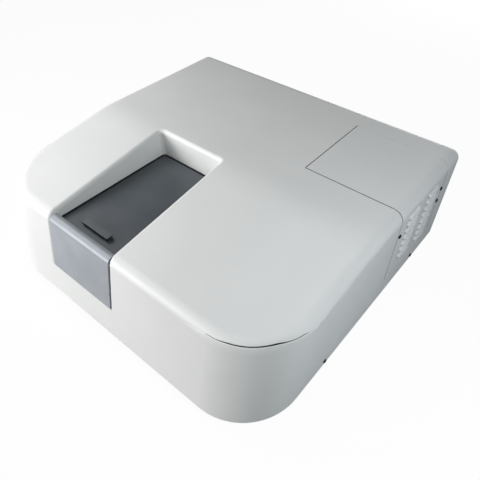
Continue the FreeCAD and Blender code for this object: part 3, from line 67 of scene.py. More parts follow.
# Studio light: a large softbox off the front left corner, a weak one in front, one over the left
# side, a strip high and a cooler one low along the right side, and one behind for the back.
COOL = (0.95, 1.0, 1.02)
COOLER = (0.86, 0.98, 1.10)


def softbox(name, place, aim, size, watts, tint=(1.0, 1.0, 1.0)):
    """A lamp of a width and height in metres, standing at a place and shining at a point."""
    lamp = bpy.data.objects.new(name, bpy.data.lights.new(name, "AREA"))
    bpy.context.scene.collection.objects.link(lamp)
    lamp.location = place
    lamp.rotation_euler = (Vector(place) - Vector(aim)).to_track_quat("Z", "Y").to_euler()
    lamp.data.shape = "RECTANGLE"
    lamp.data.size, lamp.data.size_y = size
    lamp.data.energy = watts
    lamp.data.color = tint


softbox("key_softbox", place=(-1.04, -1.62, 0.44), aim=(0.0, 0.0, 0.10), size=(0.75, 0.75), watts=28.5)
softbox("front_softbox", place=(-0.10, -1.60, 0.40), aim=(0.0, 0.0, 0.10), size=(0.60, 0.60), watts=1.6)
softbox("left_softbox", place=(-0.60, -0.25, 0.80), aim=(-0.10, 0.0, 0.10), size=(0.50, 0.50), watts=4.0)
softbox("right_strip", place=(0.72, -0.15, 0.60), aim=(0.29, -0.08, 0.17), size=(0.12, 0.70),
        watts=2.5, tint=COOL)
softbox("low_strip", place=(1.00, 0.05, 0.35), aim=(0.28, 0.02, 0.15), size=(0.20, 0.80),
        watts=0.9, tint=COOLER)
softbox("rear_softbox", place=(0.0, 1.80, 0.28), aim=(0.0, 0.0, 0.12), size=(1.20, 0.40),
        watts=7.0, tint=COOL)


# Room: the plain white studio round the bench. The camera sees it as pure white, and it gives the
# instrument only a weak, even light, so that the shadows stay soft but aren't black.
class Wire:
    """One output in a node tree; sums written on it add Math nodes."""

    def __init__(self, tree, socket=None):
        self.tree = tree
        self.socket = socket

    def node(self, kind, settings=None, values=None, out=0):
        """Adds a node: its settings first, a ramp's stops among them, then its sockets' values or links."""
        made = self.tree.nodes.new("ShaderNode" + kind)
        for name, setting in (settings or {}).items():
            if name == "stops":
                ramp = made.color_ramp
                while len(ramp.elements) < len(setting):
                    ramp.elements.new(1)
                for stop, (place, colour) in zip(ramp.elements, setting):
                    stop.position = place
                    stop.color = (*colour, 1) if hasattr(colour, "__len__") else (colour, colour, colour, 1)
            else:
                setattr(made, name, setting)
        for key, given in (values or {}).items():
            if isinstance(given, Wire):
                self.tree.links.new(given.socket, made.inputs[key])
            elif hasattr(given, "__len__") and len(given) == 3 and made.inputs[key].type == "RGBA":
                made.inputs[key].default_value = (*given, 1)
            else:
                made.inputs[key].default_value = given
        return Wire(self.tree, made.outputs[out] if made.outputs else None)

    def math(self, operation, *terms):
        """A Math node of these terms, wires or numbers."""
        return self.node("Math", {"operation": operation}, dict(enumerate(terms)))

    def __add__(self, other):
        return self.math("ADD", self, other)

    __radd__ = __add__

    def __sub__(self, other):
        return self.math("SUBTRACT", self, other)

    def __rsub__(self, other):
        return self.math("SUBTRACT", other, self)

    def __mul__(self, other):
        return self.math("MULTIPLY", self, other)

    __rmul__ = __mul__

    def blend(self, low, high):
        """The colour low where this wire is 0, and high where it is 1."""
        return self.node("Mix", {"data_type": "RGBA"}, {0: self, 6: low, 7: high}, out=2)

    def ramp(self, *stops):
        """A value remapped through stops of place and level or colour."""
        return self.node("ValToRGB", {"stops": stops}, {0: self})


def tree_of(block):
    """An emptied node tree of a material or a world, as a wire to build on."""
    block.use_nodes = True
    block.node_tree.nodes.clear()
    return Wire(block.node_tree)


WHITE = (1, 1, 1)
FILL = 0.085
room = bpy.data.worlds.new("room")
bpy.context.scene.world = room
wires = tree_of(room)
seen = wires.node("LightPath", out="Is Camera Ray")
walls = wires.node("Background", None, {"Color": WHITE, "Strength": seen * (1 - FILL) + FILL})
wires.node("OutputWorld", None, {"Surface": walls})


# Bench top: a plain sweep of matt white paper under the instrument. The camera sees it as white
# with the instrument's soft shadow on it, and it throws only a little light back up.
FLOOR_HALF = 4.0
PAPER_WHITE = (0.9, 0.9, 0.9)
PAPER_BOUNCE = (0.3, 0.3, 0.3)
GLOW_STRENGTH = 1.0
GLOW_SHARE = 0.96
corners = [(x * FLOOR_HALF, y * FLOOR_HALF, 0) for x, y in ((-1, -1), (1, -1), (1, 1), (-1, 1))]
mesh = bpy.data.meshes.new("bench_top")
mesh.from_pydata(corners, [], [(0, 1, 2, 3)])
floor = bpy.data.objects.new("bench_top", mesh)
bpy.context.scene.collection.objects.link(floor)
paper = bpy.data.materials.new("white_sweep")
wires = tree_of(paper)
looks = [wires.node("LightPath", out=name) for name in ("Is Camera Ray", "Is Transmission Ray")]
seen = wires.math("MAXIMUM", *looks)
matte = wires.node("BsdfDiffuse", None, {"Color": PAPER_WHITE})
glow = wires.node("Emission", None, {"Color": WHITE, "Strength": GLOW_STRENGTH})
shown = wires.node("MixShader", None, {0: GLOW_SHARE, 1: matte, 2: glow})
bounce = wires.node("BsdfDiffuse", None, {"Color": PAPER_BOUNCE})
sweep = wires.node("MixShader", None, {0: seen, 1: bounce, 2: shown})
wires.node("OutputMaterial", None, {"Surface": sweep})
mesh.materials.append(paper)


def finish(name):
    """A new material, the wire to build it on, and the piece's own coordinates in metres."""
    made = bpy.data.materials.new(name)
    wires = tree_of(made)
    return made, wires, wires.node("TexCoord", out="Object")


def shade(wires, values, bump=None, height=0.0):
    """Ends a material in one Principled shader, with a bump of a height in metres where one is given."""
    if bump is not None:
        values["Normal"] = wires.node("Bump", None, {"Height": bump, "Distance": height, "Strength": 1.0})
    wires.node("OutputMaterial", None, {"Surface": wires.node("BsdfPrincipled", None, values)})


def noise(wires, place, lumps, detail=2):
    """Uneven variation from 0 to 1, with so many lumps to the metre."""
    return wires.node("TexNoise", None, {"Vector": place, "Scale": lumps, "Detail": detail}, out="Fac")


def clouded(wires, place, lumps):
    """Broad soft patches of 0 and 1, with so many lumps to the metre."""
    return noise(wires, place, lumps, detail=3).ramp((0.35, 0), (0.65, 1))


def dress(material, *names):
    """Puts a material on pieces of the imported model."""
    for name in names:
        for slot in nodes[name].material_slots:
            slot.material = material


ENAMEL_TONES = ((0.765, 0.775, 0.765), (0.790, 0.797, 0.787))
ENAMEL_SHEEN = 0.42
SPATTER_HIGH = 0.00005
enamel, wires, place = finish("off_white_enamel")
spatter = noise(wires, place, 900)
shade(wires, {
    "Base Color": clouded(wires, place, 9).blend(*ENAMEL_TONES),
    "Roughness": 0.42 + 0.10 * spatter,
    "Specular IOR Level": ENAMEL_SHEEN,
}, spatter, SPATTER_HIGH)
dress(enamel, "top_cover", "lamp_cover")


# Lamp cover's seam: a black foam gasket between the two mouldings shows as a thin dark line over
# the top and down the side. Along the cover's rear and lower edges it lies deeper in its slot.
def coat(name, low, high, clouds, rough, grain, height, metal=0.0):
    """A paint, plating or plastic, clouded between two colours, with a fine grain of a height in metres."""
    made, wires, place = finish(name)
    fine = noise(wires, place, grain)
    shade(wires, {
        "Base Color": clouded(wires, place, clouds).blend(low, high),
        "Roughness": rough + 0.12 * (fine - 0.5),
        "Metallic": metal,
    }, fine, height)
    return made


def skin(rings, around=True, along=False, capped=True):
    """Points and faces of a form through rings of equally many points."""
    count = len(rings[0])
    points = [point for ring in rings for point in ring]
    faces = []
    for row in range(len(rings) if along else len(rings) - 1):
        low, high = row * count, (row + 1) % len(rings) * count
        for k in range(count if around else count - 1):
            faces.append((low + k, low + (k + 1) % count, high + (k + 1) % count, high + k))
    if capped and not along:
        faces.append(tuple(range(count)))
        faces.append(tuple(range(len(points) - count, len(points))))
    return points, faces


def several(forms):
    """One set of points and faces from several."""
    points, faces = [], []
    for more, sides in forms:
        faces += [[k + len(points) for k in face] for face in sides]
        points += more
    return points, faces


def add(name, points, faces, material, slot, body="casing", crease=25):
    """A piece from points in millimetres, riding on a body, with edges over so many degrees kept sharp."""
    mesh = bpy.data.meshes.new(name)
    mesh.from_pydata([[number * MM for number in point] for point in points], [], faces)
    work = bmesh.new()
    work.from_mesh(mesh)
    bmesh.ops.remove_doubles(work, verts=work.verts, dist=0.001 * MM)
    bmesh.ops.recalc_face_normals(work, faces=work.faces)
    work.to_mesh(mesh)
    work.free()
    mesh.shade_smooth()
    mesh.set_sharp_from_angle(angle=math.radians(crease))
    mesh.materials.append(material)
    made = bpy.data.objects.new(name, mesh)
    bpy.context.scene.collection.objects.link(made)
    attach(made, body)
    return made


COVER = {"left": 122.4, "front": 65.4, "rear": 232.6, "low": 57.4, "top": 204.5, "side": 300}
TOP_EDGE = 19
TOP_EDGE_STEPS = 12
SEAM_HALF = 0.7
SEAM_FLUSH = -0.04
SEAM_DEEP = 0.5
GASKET_THICK = 0.7


def gasket_run(places, across):
    """A run of the gasket through places: points, with the way out of the wall and how deep it lies there."""
    rings = []
    for point, out, sunk in places:
        ring = []
        for side, deep in ((-1, 0), (1, 0), (1, 1), (-1, 1)):
            drop = sunk + deep * GASKET_THICK
            ring.append([p + side * SEAM_HALF * a - drop * o for p, a, o in zip(point, across, out)])
        rings.append(ring)
    return skin(rings)


foam = coat("gasket_foam", (0.012, 0.012, 0.012), (0.02, 0.02, 0.02),
            clouds=300, rough=0.9, grain=2500, height=0.00002)
over = [(COVER["side"], COVER["low"], 1, 0)]
for step in range(TOP_EDGE_STEPS + 1):
    turn = math.radians(90 * step / TOP_EDGE_STEPS)
    aside, up = math.cos(turn), math.sin(turn)
    x = COVER["side"] - TOP_EDGE + TOP_EDGE * aside
    z = COVER["top"] - TOP_EDGE + TOP_EDGE * up
    over.append((x, z, aside, up))
over.append((COVER["left"], COVER["top"], 0, 1))
runs = []
for y in (COVER["front"], COVER["rear"]):
    places = []
    for x, z, aside, up in over:
        sunk = SEAM_DEEP if y == COVER["rear"] and up > 0 else SEAM_FLUSH
        places.append(((x, y, z), (aside, 0, up), sunk))
    runs.append(gasket_run(places, across=(0, 1, 0)))
for x, z, across, out, sunk in (
    (COVER["left"], COVER["top"], (1, 0, 0), (0, 0, 1), SEAM_FLUSH),
    (COVER["side"], COVER["low"], (0, 0, 1), (1, 0, 0), SEAM_DEEP),
):
    runs.append(gasket_run([((x, y, z), out, sunk) for y in (COVER["front"], COVER["rear"])], across))
add("lamp_cover_gasket", *several(runs), foam, "foot_rubber")


# Louvres: hoods pressed out of the lamp cover's wall in two columns, open below for the warm air,
# with a small black disc at the front end of each slot, painted shade standing for a punched
# relief hole.
def turned(profile, place, out, sides, socket=None):
    """A form turned about a direction from radius and distance out, with a hexagon socket if one is given."""
    out = Vector(out).normalized()
    across = out.orthogonal().normalized()
    up = out.cross(across)
    rings = []
    for radius, far in profile:
        rings.append([
            Vector(place) + out * far + radius * (across * math.cos(t) + up * math.sin(t))
            for t in (math.tau * k / sides for k in range(sides))
        ])
    for far in (profile[-1][1], socket[1]) if socket else ():
        ring = []
        for k in range(sides):
            t = math.tau * k / sides
            wide = socket[0] / math.cos((t + math.pi / 6) % (math.pi / 3) - math.pi / 6)
            ring.append(Vector(place) + out * far + wide * (across * math.cos(t) + up * math.sin(t)))
        rings.append(ring)
    return skin(rings)


COLUMNS = ((96, 7), (166, 8))
HOOD_LONG = 36
HOOD_PITCH = 14.2
HOOD_TOP = 170
HOOD_BED = 0.15
HOOD_STEPS = 20
HOOD_SECTION = (
    (0, 9.6), (0.35, 9.3), (1.2, 8.2), (3.3, 5.0), (4.0, 3.6),
    (4.3, 2.0), (4.25, 0.3), (3.9, -0.3), (3.5, 0.4), (2.6, 3.0),
)
END_LONG = 4.5
END_BULGE = 0.8
END_SHARE = 0.25
END_CENTRE = 4.6
RELIEF_SHADE_DISC = ((1.25, -0.6), (1.25, 0.12), (0.9, 0.14))
RELIEF_AHEAD = 0.6
RELIEF_UP = 1.5
hoods = []
shade_discs = []
for front, rows in COLUMNS:
    for row in range(rows):
        foot = HOOD_TOP - HOOD_PITCH * row
        rings = []
        for step in range(HOOD_STEPS + 1):
            along = HOOD_LONG * step / HOOD_STEPS
            near = min(along, HOOD_LONG - along) / END_LONG
            full = math.sin(min(1, near) * math.pi / 2) ** END_BULGE
            share = END_SHARE + (1 - END_SHARE) * full
            ring = []
            for out, up in HOOD_SECTION:
                z = foot + END_CENTRE + (up - END_CENTRE) * share
                ring.append((COVER["side"] - HOOD_BED + out * full, front + along, z))
            rings.append(ring)
        hoods.append(skin(rings, around=False, capped=False))
        # A black foam disc at the slot's front end: painted shade standing for a punched relief hole.
        spot = (COVER["side"], front - RELIEF_AHEAD, foot + RELIEF_UP)
        shade_discs.append(turned(RELIEF_SHADE_DISC, spot, (1, 0, 0), sides=12))
add("louvre_hoods", *several(hoods), enamel, "casing_white")
add("louvre_relief_shade_discs", *several(shade_discs), foam, "foot_rubber")


# Front right corner: the front wall rises there as a thin rim past the top's round edge, and a
# black foam strip lies in the groove behind it as painted shade. The rim dies out along the front
# and along the side.
RAKE = math.radians(11.25)
SLOPE = 0.1478
BEND_Y = -16
CORNER = 100
CORNER_X = 200
LOWEST = 14
FRONT_Y = -287
EDGE_ROUNDS = 12
RIM_STOPS = ((-75, 18.5), (-20, 10), (0, 5.5), (18, 3.0), (50, 3.0), (70, 8), (86, 14), (125, 18.5))
RIM_STEP = 2.5
RIM_THICK = 1.2
RIM_PROUD = 0.12
RIM_ROUND = ((0.15, 0.35), (0.45, 0.08))
RIM_ROUND_DEEP = 1.0
RIM_FACE_DEEP = 18
RIM_BACK_DEEP = 13
RIM_BACK_LEAST = 2
RIM_FOOT = (0.05, 21)
RIM_BACK_FOOT = (0.8, 21)
GROOVE_DEEP = 0.7
GROOVE_FALL = 0.35
GROOVE_STEP = 0.2
GROOVE_LAP = 0.3
GROOVE_SHADE_STRIP_THICK = 1.5


def between(stops, at):
    """The value at a place among stops of place and value, eased from one stop to the next."""
    for (near, low), (far, high) in zip(stops, stops[1:]):
        if at <= far:
            share = (at - near) / (far - near)
            return low + (high - low) * share * share * (3 - 2 * share)
    return stops[-1][1]


def wall_point(at, z):
    """The wall's point and way out: at counts degrees round the corner, and millimetres past its ends."""
    middle = FRONT_Y + CORNER / math.cos(RAKE) + (z - LOWEST) * math.tan(RAKE)
    turn = math.radians(min(max(at, 0), 90) - 90)
    x = CORNER_X + CORNER * math.cos(turn) + min(at, 0)
    y = middle + CORNER / math.cos(RAKE) * math.sin(turn) + max(at - 90, 0)
    return Vector((x, y, z)), Vector((math.cos(turn), math.sin(turn), 0))


down = Vector((0, -math.sin(RAKE), -math.cos(RAKE)))
rim = []
groove_shade_strip = []
at = RIM_STOPS[0][0]
while at <= RIM_STOPS[-1][0]:
    z = COVER["top"]
    for _ in range(EDGE_ROUNDS):
        edge, out = wall_point(at, z)
        z = COVER["top"] + SLOPE * min(0, edge.y - BEND_Y)
    edge, out = wall_point(at, z)
    inward = Vector((-out.x, -out.y, -SLOPE * out.y)).normalized()
    angle = inward.angle(down)
    reach = TOP_EDGE / math.tan(angle / 2)
    top = between(RIM_STOPS, at)
    path = [RIM_FOOT, (-RIM_PROUD, RIM_FACE_DEEP), (-RIM_PROUD, top + RIM_ROUND_DEEP)]
    path += [(aside, top + fall) for aside, fall in RIM_ROUND]
    path += [(RIM_THICK / 2, top)]
    path += [(RIM_THICK - aside, top + fall) for aside, fall in reversed(RIM_ROUND)]
    back = max(RIM_BACK_DEEP, top + RIM_BACK_LEAST)
    path += [(RIM_THICK, top + RIM_ROUND_DEEP), (RIM_THICK, back), RIM_BACK_FOOT]
    rim.append([edge + inward * p + down * q for p, q in path])
    start = top + GROOVE_DEEP
    far = RIM_THICK
    while far < reach:
        level = start + GROOVE_FALL * (far - RIM_THICK)
        half = TOP_EDGE * math.sin(angle) - math.cos(angle) * (far - reach)
        if half - math.sqrt(half * half - (far - reach) ** 2) <= level:
            break
        far += GROOVE_STEP
    path = (
        (RIM_THICK - GROOVE_LAP, start),
        (far + GROOVE_LAP, level),
        (far + GROOVE_LAP, level + GROOVE_SHADE_STRIP_THICK),
        (RIM_THICK - GROOVE_LAP, start + GROOVE_SHADE_STRIP_THICK),
    )
    groove_shade_strip.append([edge + inward * p + down * q for p, q in path])
    at += RIM_STEP
add("corner_rim", *skin(rim), enamel, "casing_white", crease=30)
# A black foam strip in the groove: painted shade, darker than the groove's own shadow.
add("corner_shade_strip", *skin(groove_shade_strip), foam, "foot_rubber")


# Casing screws: black oxide button heads with a hexagon socket, through the walls into the base
# pan's rim and into the lamp cover's ledge.
BUTTON_HEAD = ((2, -9.5), (2, 0), (3.6, 0), (3.6, 1.0), (3.45, 1.5), (3.0, 2.0), (2.3, 2.32), (1.7, 2.4))
BUTTON_SOCKET = (1.25, 0.9)
SIDE_SCREWS = (
    (1, -111.5, 24), (1, 180, 24), (-1, -111.5, 24), (-1, 180, 24),
    (1, 71.5, 154), (1, 226.5, 154), (1, 226.5, 127),
)
black_oxide = coat("black_oxide", (0.012, 0.012, 0.013), (0.03, 0.03, 0.032),
                   clouds=700, rough=0.34, grain=5000, height=0.000005, metal=0.5)
heads = [
    turned(BUTTON_HEAD, (side * COVER["side"], y, z), (side, 0, 0), sides=24, socket=BUTTON_SOCKET)
    for side, y, z in SIDE_SCREWS
]
screws = add("casing_screw_heads", *several(heads), black_oxide, "black_steel")
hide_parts("casing_screws")


# Base pan: folded zinc-plated steel, powder coated light grey, on four moulded rubber feet. Pan-head
# screws go up through it into the board's posts, the power supply and the bench's two rear mounts.
def fastener(name, profile, spots, out, material, slot, socket=None):
    """Like screws or rivets in a row of places, as one piece."""
    return add(name, *several([turned(profile, spot, out, 16, socket) for spot in spots]), material, slot)


def box_of(name):
    """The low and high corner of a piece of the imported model, in millimetres."""
    return [[number / MM for number in corner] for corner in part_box(name)]


PAN_HEAD = ((1.8, -3.0), (1.8, 0), (3.3, 0), (3.3, 0.8), (3.0, 1.4), (2.4, 1.8), (1.7, 1.95))
PAN_SOCKET = (1.25, 1.1)
HELD_FROM_BELOW = {"board_standoffs": 3, "power_supply": 12}
MOUNT_RADIUS = 11
LEFT_MOUNT_Y = 31
powder = coat("light_grey_powder", (0.535, 0.545, 0.545), (0.575, 0.585, 0.585),
              clouds=14, rough=0.52, grain=1400, height=0.00005)
dress(powder, "base_pan")
rubber = coat("black_rubber", (0.022, 0.022, 0.022), (0.045, 0.045, 0.044),
              clouds=120, rough=0.78, grain=2200, height=0.00004)
dress(rubber, "feet")
nickel = coat("nickel_plate", (0.58, 0.57, 0.55), (0.70, 0.69, 0.67),
              clouds=90, rough=0.24, grain=1800, height=0.000004, metal=1.0)
underside = box_of("base_pan")[0][2]
low, high = box_of("bench_isolators")
spots = [
    (low[0] + MOUNT_RADIUS, LEFT_MOUNT_Y, underside),
    (high[0] - MOUNT_RADIUS, high[1] - MOUNT_RADIUS, underside),
]
for held, inset in HELD_FROM_BELOW.items():
    low, high = box_of(held)
    for x in (low[0] + inset, high[0] - inset):
        spots += [(x, y, underside) for y in (low[1] + inset, high[1] - inset)]
fastener("base_pan_screws", PAN_HEAD, spots, (0, 0, -1), nickel, "zinc_steel", PAN_SOCKET)


# Rear panel: powder-coated steel sheet with a window for the connector plate behind it. Pan-head
# screws hold its edge to the cover's ledge, and rivets hold the plate.
REAR_FACE = 283.5
EDGE_SCREWS = [(x, REAR_FACE, z) for x in (-262, 262) for z in (40, 175)]
EDGE_SCREWS += [(x, REAR_FACE, 178) for x in (-90, 60)]
RIVET = ((1.6, -2.5), (1.6, 0), (2.9, 0), (2.8, 0.4), (2.3, 0.8), (1.5, 1.05), (0.6, 1.15))
PLATE_RIVETS = [(x, REAR_FACE, z) for x in (-245, -140, -45) for z in (38.8, 81.2)]
rear_powder = coat("rear_powder", (0.57, 0.58, 0.575), (0.64, 0.65, 0.64),
                   clouds=18, rough=0.5, grain=1500, height=0.00005)
dress(rear_powder, "rear_panel", "connector_plate")
fastener("rear_panel_screws", PAN_HEAD, EDGE_SCREWS, (0, 1, 0), nickel, "zinc_steel", PAN_SOCKET)
fastener("connector_plate_rivets", RIVET, PLATE_RIVETS, (0, 1, 0), nickel, "zinc_steel")


# Front panel: pressed steel, sprayed satin silver-grey. It is rolled over along the top as a finger
# hold, and it lifts off upward.
SILVER_TONES = ((0.335, 0.360, 0.392), (0.392, 0.418, 0.450))
SILVER_METAL = 0.18
FLAKE_HIGH = 0.00001
UP_AND_DOWN = (1.0, 1.0, 0.04)
silver, wires, place = finish("satin_silver")
flake = noise(wires, place, 2600)
brushed = noise(wires, wires.node("Mapping", None, {"Vector": place, "Scale": UP_AND_DOWN}), 900, detail=3)
shade(wires, {
    "Base Color": (0.7 * clouded(wires, place, 22) + 0.3 * brushed).blend(*SILVER_TONES),
    "Roughness": 0.48 + 0.12 * flake,
    "Metallic": SILVER_METAL,
}, flake, FLAKE_HIGH)
dress(silver, "front_panel")


# Lid and its finger bar: a moulded sheet of blue-grey plastic with a fine matt grain. The bar's
# sides lean in towards the lid, so that a finger catches under its edges, and the black rubber on
# them is painted shade.
LID_TONES = ((0.076, 0.089, 0.101), (0.100, 0.113, 0.125))
PORE_DEEP = 0.00003
lid_plastic, wires, place = finish("blue_grey_plastic")
pores = wires.node("TexVoronoi", {"feature": "F1"}, {"Vector": place, "Scale": 1700.0}, out="Distance")
shade(wires, {
    "Base Color": noise(wires, place, 16, detail=4).ramp((0.3, 0), (0.7, 1)).blend(*LID_TONES),
    "Roughness": 0.36 + 0.14 * pores,
}, pores, PORE_DEEP)
dress(lid_plastic, "compartment_lid")
LID_TOP = 151.7
BAR = {"left": -102, "right": -38, "front": -227.3, "rear": -215.3, "high": 8.0}
BAR_LEAN = 1.4
BAR_REAR_LEAN = 0.6
BAR_LEVELS = (
    (0, 1.0, 0.3), (0.55, 0.45, 0.8), (0.86, 0.14, 1.2),
    (0.93, 0.09, 1.4), (0.98, 0.16, 1.5), (1.0, 0.34, 1.6),
)
BAR_CORNER_STEPS = 4
STEEPER_THAN = 0.1
ABOVE_LID = 0.1
rings = []
for up, lean, soft in BAR_LEVELS:
    inset = BAR_LEAN * lean
    left, right = BAR["left"] + inset + soft, BAR["right"] - inset - soft
    front, rear = BAR["front"] + inset + soft, BAR["rear"] - inset * BAR_REAR_LEAN - soft
    ring = []
    for x, y, start in ((right, rear, 0), (left, rear, 90), (left, front, 180), (right, front, 270)):
        for k in range(BAR_CORNER_STEPS + 1):
            t = math.radians(start + 90 * k / BAR_CORNER_STEPS)
            ring.append((x + soft * math.cos(t), y + soft * math.sin(t), LID_TOP + BAR["high"] * up))
    rings.append(ring)
bar = add("lid_finger_bar", *skin(rings), lid_plastic, "lid_blue_grey", "lid")
# The bar's leaning sides take the black rubber as painted shade, where its own shadow falls.
bar.data.materials.append(rubber)
for polygon in bar.data.polygons:
    painted_shade_side = polygon.normal.z < STEEPER_THAN and polygon.center.z > (LID_TOP + ABOVE_LID) * MM
    polygon.material_index = 1 if painted_shade_side else 0
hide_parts("lid_grip")


# Lid seal: a black felt strip glued along the foot of the recess's walls, which wipes the lid as it
# slides and keeps light out.
STRIP = {"left": -142.9, "right": 2.9, "rear": -6.9, "front": -236.5, "low": 151.8, "high": 153.0}
STRIP_WIDE = 3.0
felt = coat("black_felt", (0.008, 0.008, 0.009), (0.016, 0.016, 0.017),
            clouds=500, rough=0.95, grain=3000, height=0.0001)
rings = []
for side, end, aside, back in (
    ("left", "front", STRIP_WIDE, 0), ("left", "rear", STRIP_WIDE, STRIP_WIDE),
    ("right", "rear", -STRIP_WIDE, STRIP_WIDE), ("right", "front", -STRIP_WIDE, 0),
):
    x, y = STRIP[side], STRIP[end]
    inner = (x + aside, y - back)
    rings.append([
        (x, y, STRIP["low"]), (*inner, STRIP["low"]), (*inner, STRIP["high"]), (x, y, STRIP["high"]),
    ])
add("lid_seal", *skin(rings), felt, "tub_black")


# Lid rails: natural nylon strips that the lid slides on, held under the top cover by small brackets
# of zinc-plated steel. The plating shows spangles and the sheet's rolling lines.
ZINC_TONES = ((0.50, 0.51, 0.53), (0.68, 0.69, 0.70))
ROLLED_ALONG = (0.05, 1.0, 1.0)
ROLLING_HIGH = 0.000008
nylon = coat("natural_nylon", (0.66, 0.64, 0.57), (0.74, 0.72, 0.66),
             clouds=60, rough=0.42, grain=1500, height=0.00002)
dress(nylon, "lid_rail_left", "lid_rail_right")
zinc, wires, place = finish("zinc_plate")
spangle = wires.node("TexVoronoi", {"feature": "F1"}, {"Vector": place, "Scale": 70.0}, out="Color")
grey = wires.node("RGBToBW", None, {"Color": spangle})
rolled = noise(wires, wires.node("Mapping", None, {"Vector": place, "Scale": ROLLED_ALONG}), 800)
shade(wires, {
    "Base Color": (0.5 * grey + 0.5 * rolled).blend(*ZINC_TONES),
    "Roughness": 0.26 + 0.18 * grey,
    "Metallic": 1.0,
}, rolled, ROLLING_HIGH)
dress(zinc, "rail_brackets")


# Optical bench: a ribbed aluminium casting on soft rubber mounts, milled flat where the optics
# stand on it. The cutter's passes show as faint straight bands.
CAST_TONES = ((0.52, 0.53, 0.54), (0.66, 0.67, 0.68))
CAST_HIGH = 0.00004
cast, wires, place = finish("milled_casting")
passes = wires.node("TexWave", {"wave_type": "BANDS", "bands_direction": "X"}, {
    "Vector": place, "Scale": 26.0, "Distortion": 0.6, "Detail": 2.0,
}, out="Fac")
pits = noise(wires, place, 380, detail=3)
shade(wires, {
    "Base Color": (0.5 * passes + 0.5 * noise(wires, place, 30, detail=3)).blend(*CAST_TONES),
    "Roughness": 0.30 + 0.16 * passes,
    "Metallic": 1.0,
}, 0.6 * pits + 0.4 * passes, CAST_HIGH)
dress(cast, "optical_bench")
dress(rubber, "bench_isolators")


# Sample compartment: a folded sheet tub in light-absorbing black paint, with fused quartz windows
# where the beams cross it, and black anodised holders for two square cells.
def glassy(name, colour, rough):
    """Clear or tinted glass with faint handling marks."""
    made, wires, place = finish(name)
    marks = noise(wires, place, 120, detail=3).ramp((0.5, 0), (0.75, 1))
    shade(wires, {
        "Base Color": marks.blend(colour, [0.96 * part for part in colour]),
        "Roughness": rough + 0.08 * marks,
        "Transmission Weight": 1.0,
        "IOR": 1.46,
    })
    return made


soot = coat("absorbing_black", (0.012, 0.012, 0.013), (0.022, 0.022, 0.024),
            clouds=40, rough=0.82, grain=1600, height=0.00008)
dress(soot, "sample_tub")
anodised = coat("black_anodised", (0.018, 0.018, 0.020), (0.034, 0.034, 0.038),
                clouds=90, rough=0.36, grain=2600, height=0.000008, metal=0.55)
dress(anodised, "holder_base", "sample_cell_holder", "reference_cell_holder")
quartz = glassy("fused_quartz", (0.93, 0.95, 0.96), rough=0.02)
dress(quartz, "beam_windows")


# Monochromator: a matt black wrinkle-painted casting with a flat cover that cap screws hold, and
# slits of blackened brass.
WRINKLE_TONES = ((0.022, 0.022, 0.024), (0.040, 0.040, 0.043))
WRINKLE_HIGH = 0.00018
CAP_HEAD = ((1.5, -2.5), (1.5, 0), (2.7, 0), (2.8, 0.3), (2.8, 2.4), (2.6, 2.8), (1.9, 3.0))
CAP_SOCKET = (1.25, 1.4)
CAP_INSET = 6
wrinkle, wires, place = finish("black_wrinkle")
folds = wires.node("TexVoronoi", {"feature": "SMOOTH_F1"}, {"Vector": place, "Scale": 520.0}, out="Distance")
shade(wires, {
    "Base Color": noise(wires, place, 30).blend(*WRINKLE_TONES),
    "Roughness": 0.50 + 0.2 * folds,
}, folds, WRINKLE_HIGH)
dress(wrinkle, "monochromator_casting", "monochromator_cover")
low, high = box_of("monochromator_cover")
spots = []
for x in (low[0] + CAP_INSET, high[0] - CAP_INSET):
    spots += [(x, y, high[2]) for y in (low[1] + CAP_INSET, (low[1] + high[1]) / 2, high[1] - CAP_INSET)]
fastener("monochromator_screws", CAP_HEAD, spots, (0, 0, 1), black_oxide, "black_steel", CAP_SOCKET)
slit_brass = coat("blackened_brass", (0.030, 0.024, 0.018), (0.060, 0.046, 0.030),
                  clouds=260, rough=0.42, grain=2400, height=0.00001, metal=0.7)
dress(slit_brass, "entrance_slit", "exit_slit")


# Mirrors: glass ground flat or hollow, aluminised on its face and glued to posts on the bench. The
# chopper is a disc with mirrored quadrants.
mirror = coat("aluminised_glass", (0.86, 0.87, 0.88), (0.91, 0.915, 0.92),
              clouds=30, rough=0.09, grain=600, height=0.000001, metal=1.0)
dress(mirror, "collimating_mirror", "focusing_mirror", "exit_fold_mirror", "sample_fold_mirror",
      "sample_collecting_mirror", "reference_collecting_mirror", "lamp_change_mirror", "chopper_disc")


# Grating and filters: a ruled, aluminised block on a turntable, coloured in bands along its ruling
# as a painted rainbow reflection, and coloured glass discs in an anodised wheel, each on a small
# stepping motor with a blackened can.
# Rainbow bands along the ruling: a painted reflection of the light that the ruling splits.
PAINTED_RAINBOW_REFLECTION = (
    (0.0, (0.55, 0.62, 0.85)), (0.35, (0.60, 0.82, 0.72)),
    (0.65, (0.86, 0.80, 0.55)), (1.0, (0.80, 0.60, 0.72)),
)
RULING_HIGH = 0.000004
ruled, wires, place = finish("ruled_grating")
lines = wires.node("TexWave", {"wave_type": "BANDS", "bands_direction": "DIAGONAL"}, {
    "Vector": place, "Scale": 160.0, "Distortion": 0.1,
}, out="Fac")
shade(wires, {
    "Base Color": lines.ramp(*PAINTED_RAINBOW_REFLECTION),
    "Roughness": 0.14 + 0.1 * lines,
    "Metallic": 1.0,
}, lines, RULING_HIGH)
dress(ruled, "diffraction_grating")
dress(cast, "grating_turntable")
amber = glassy("amber_filter", (0.85, 0.42, 0.10), rough=0.04)
dress(amber, "order_filters")
dress(anodised, "filter_wheel")
motor_can = coat("blackened_motor_can", (0.13, 0.13, 0.135), (0.20, 0.20, 0.205),
                 clouds=160, rough=0.30, grain=900, height=0.00001, metal=0.9)
dress(motor_can, "grating_motor", "filter_motor", "chopper_motor", "lamp_change_motor")


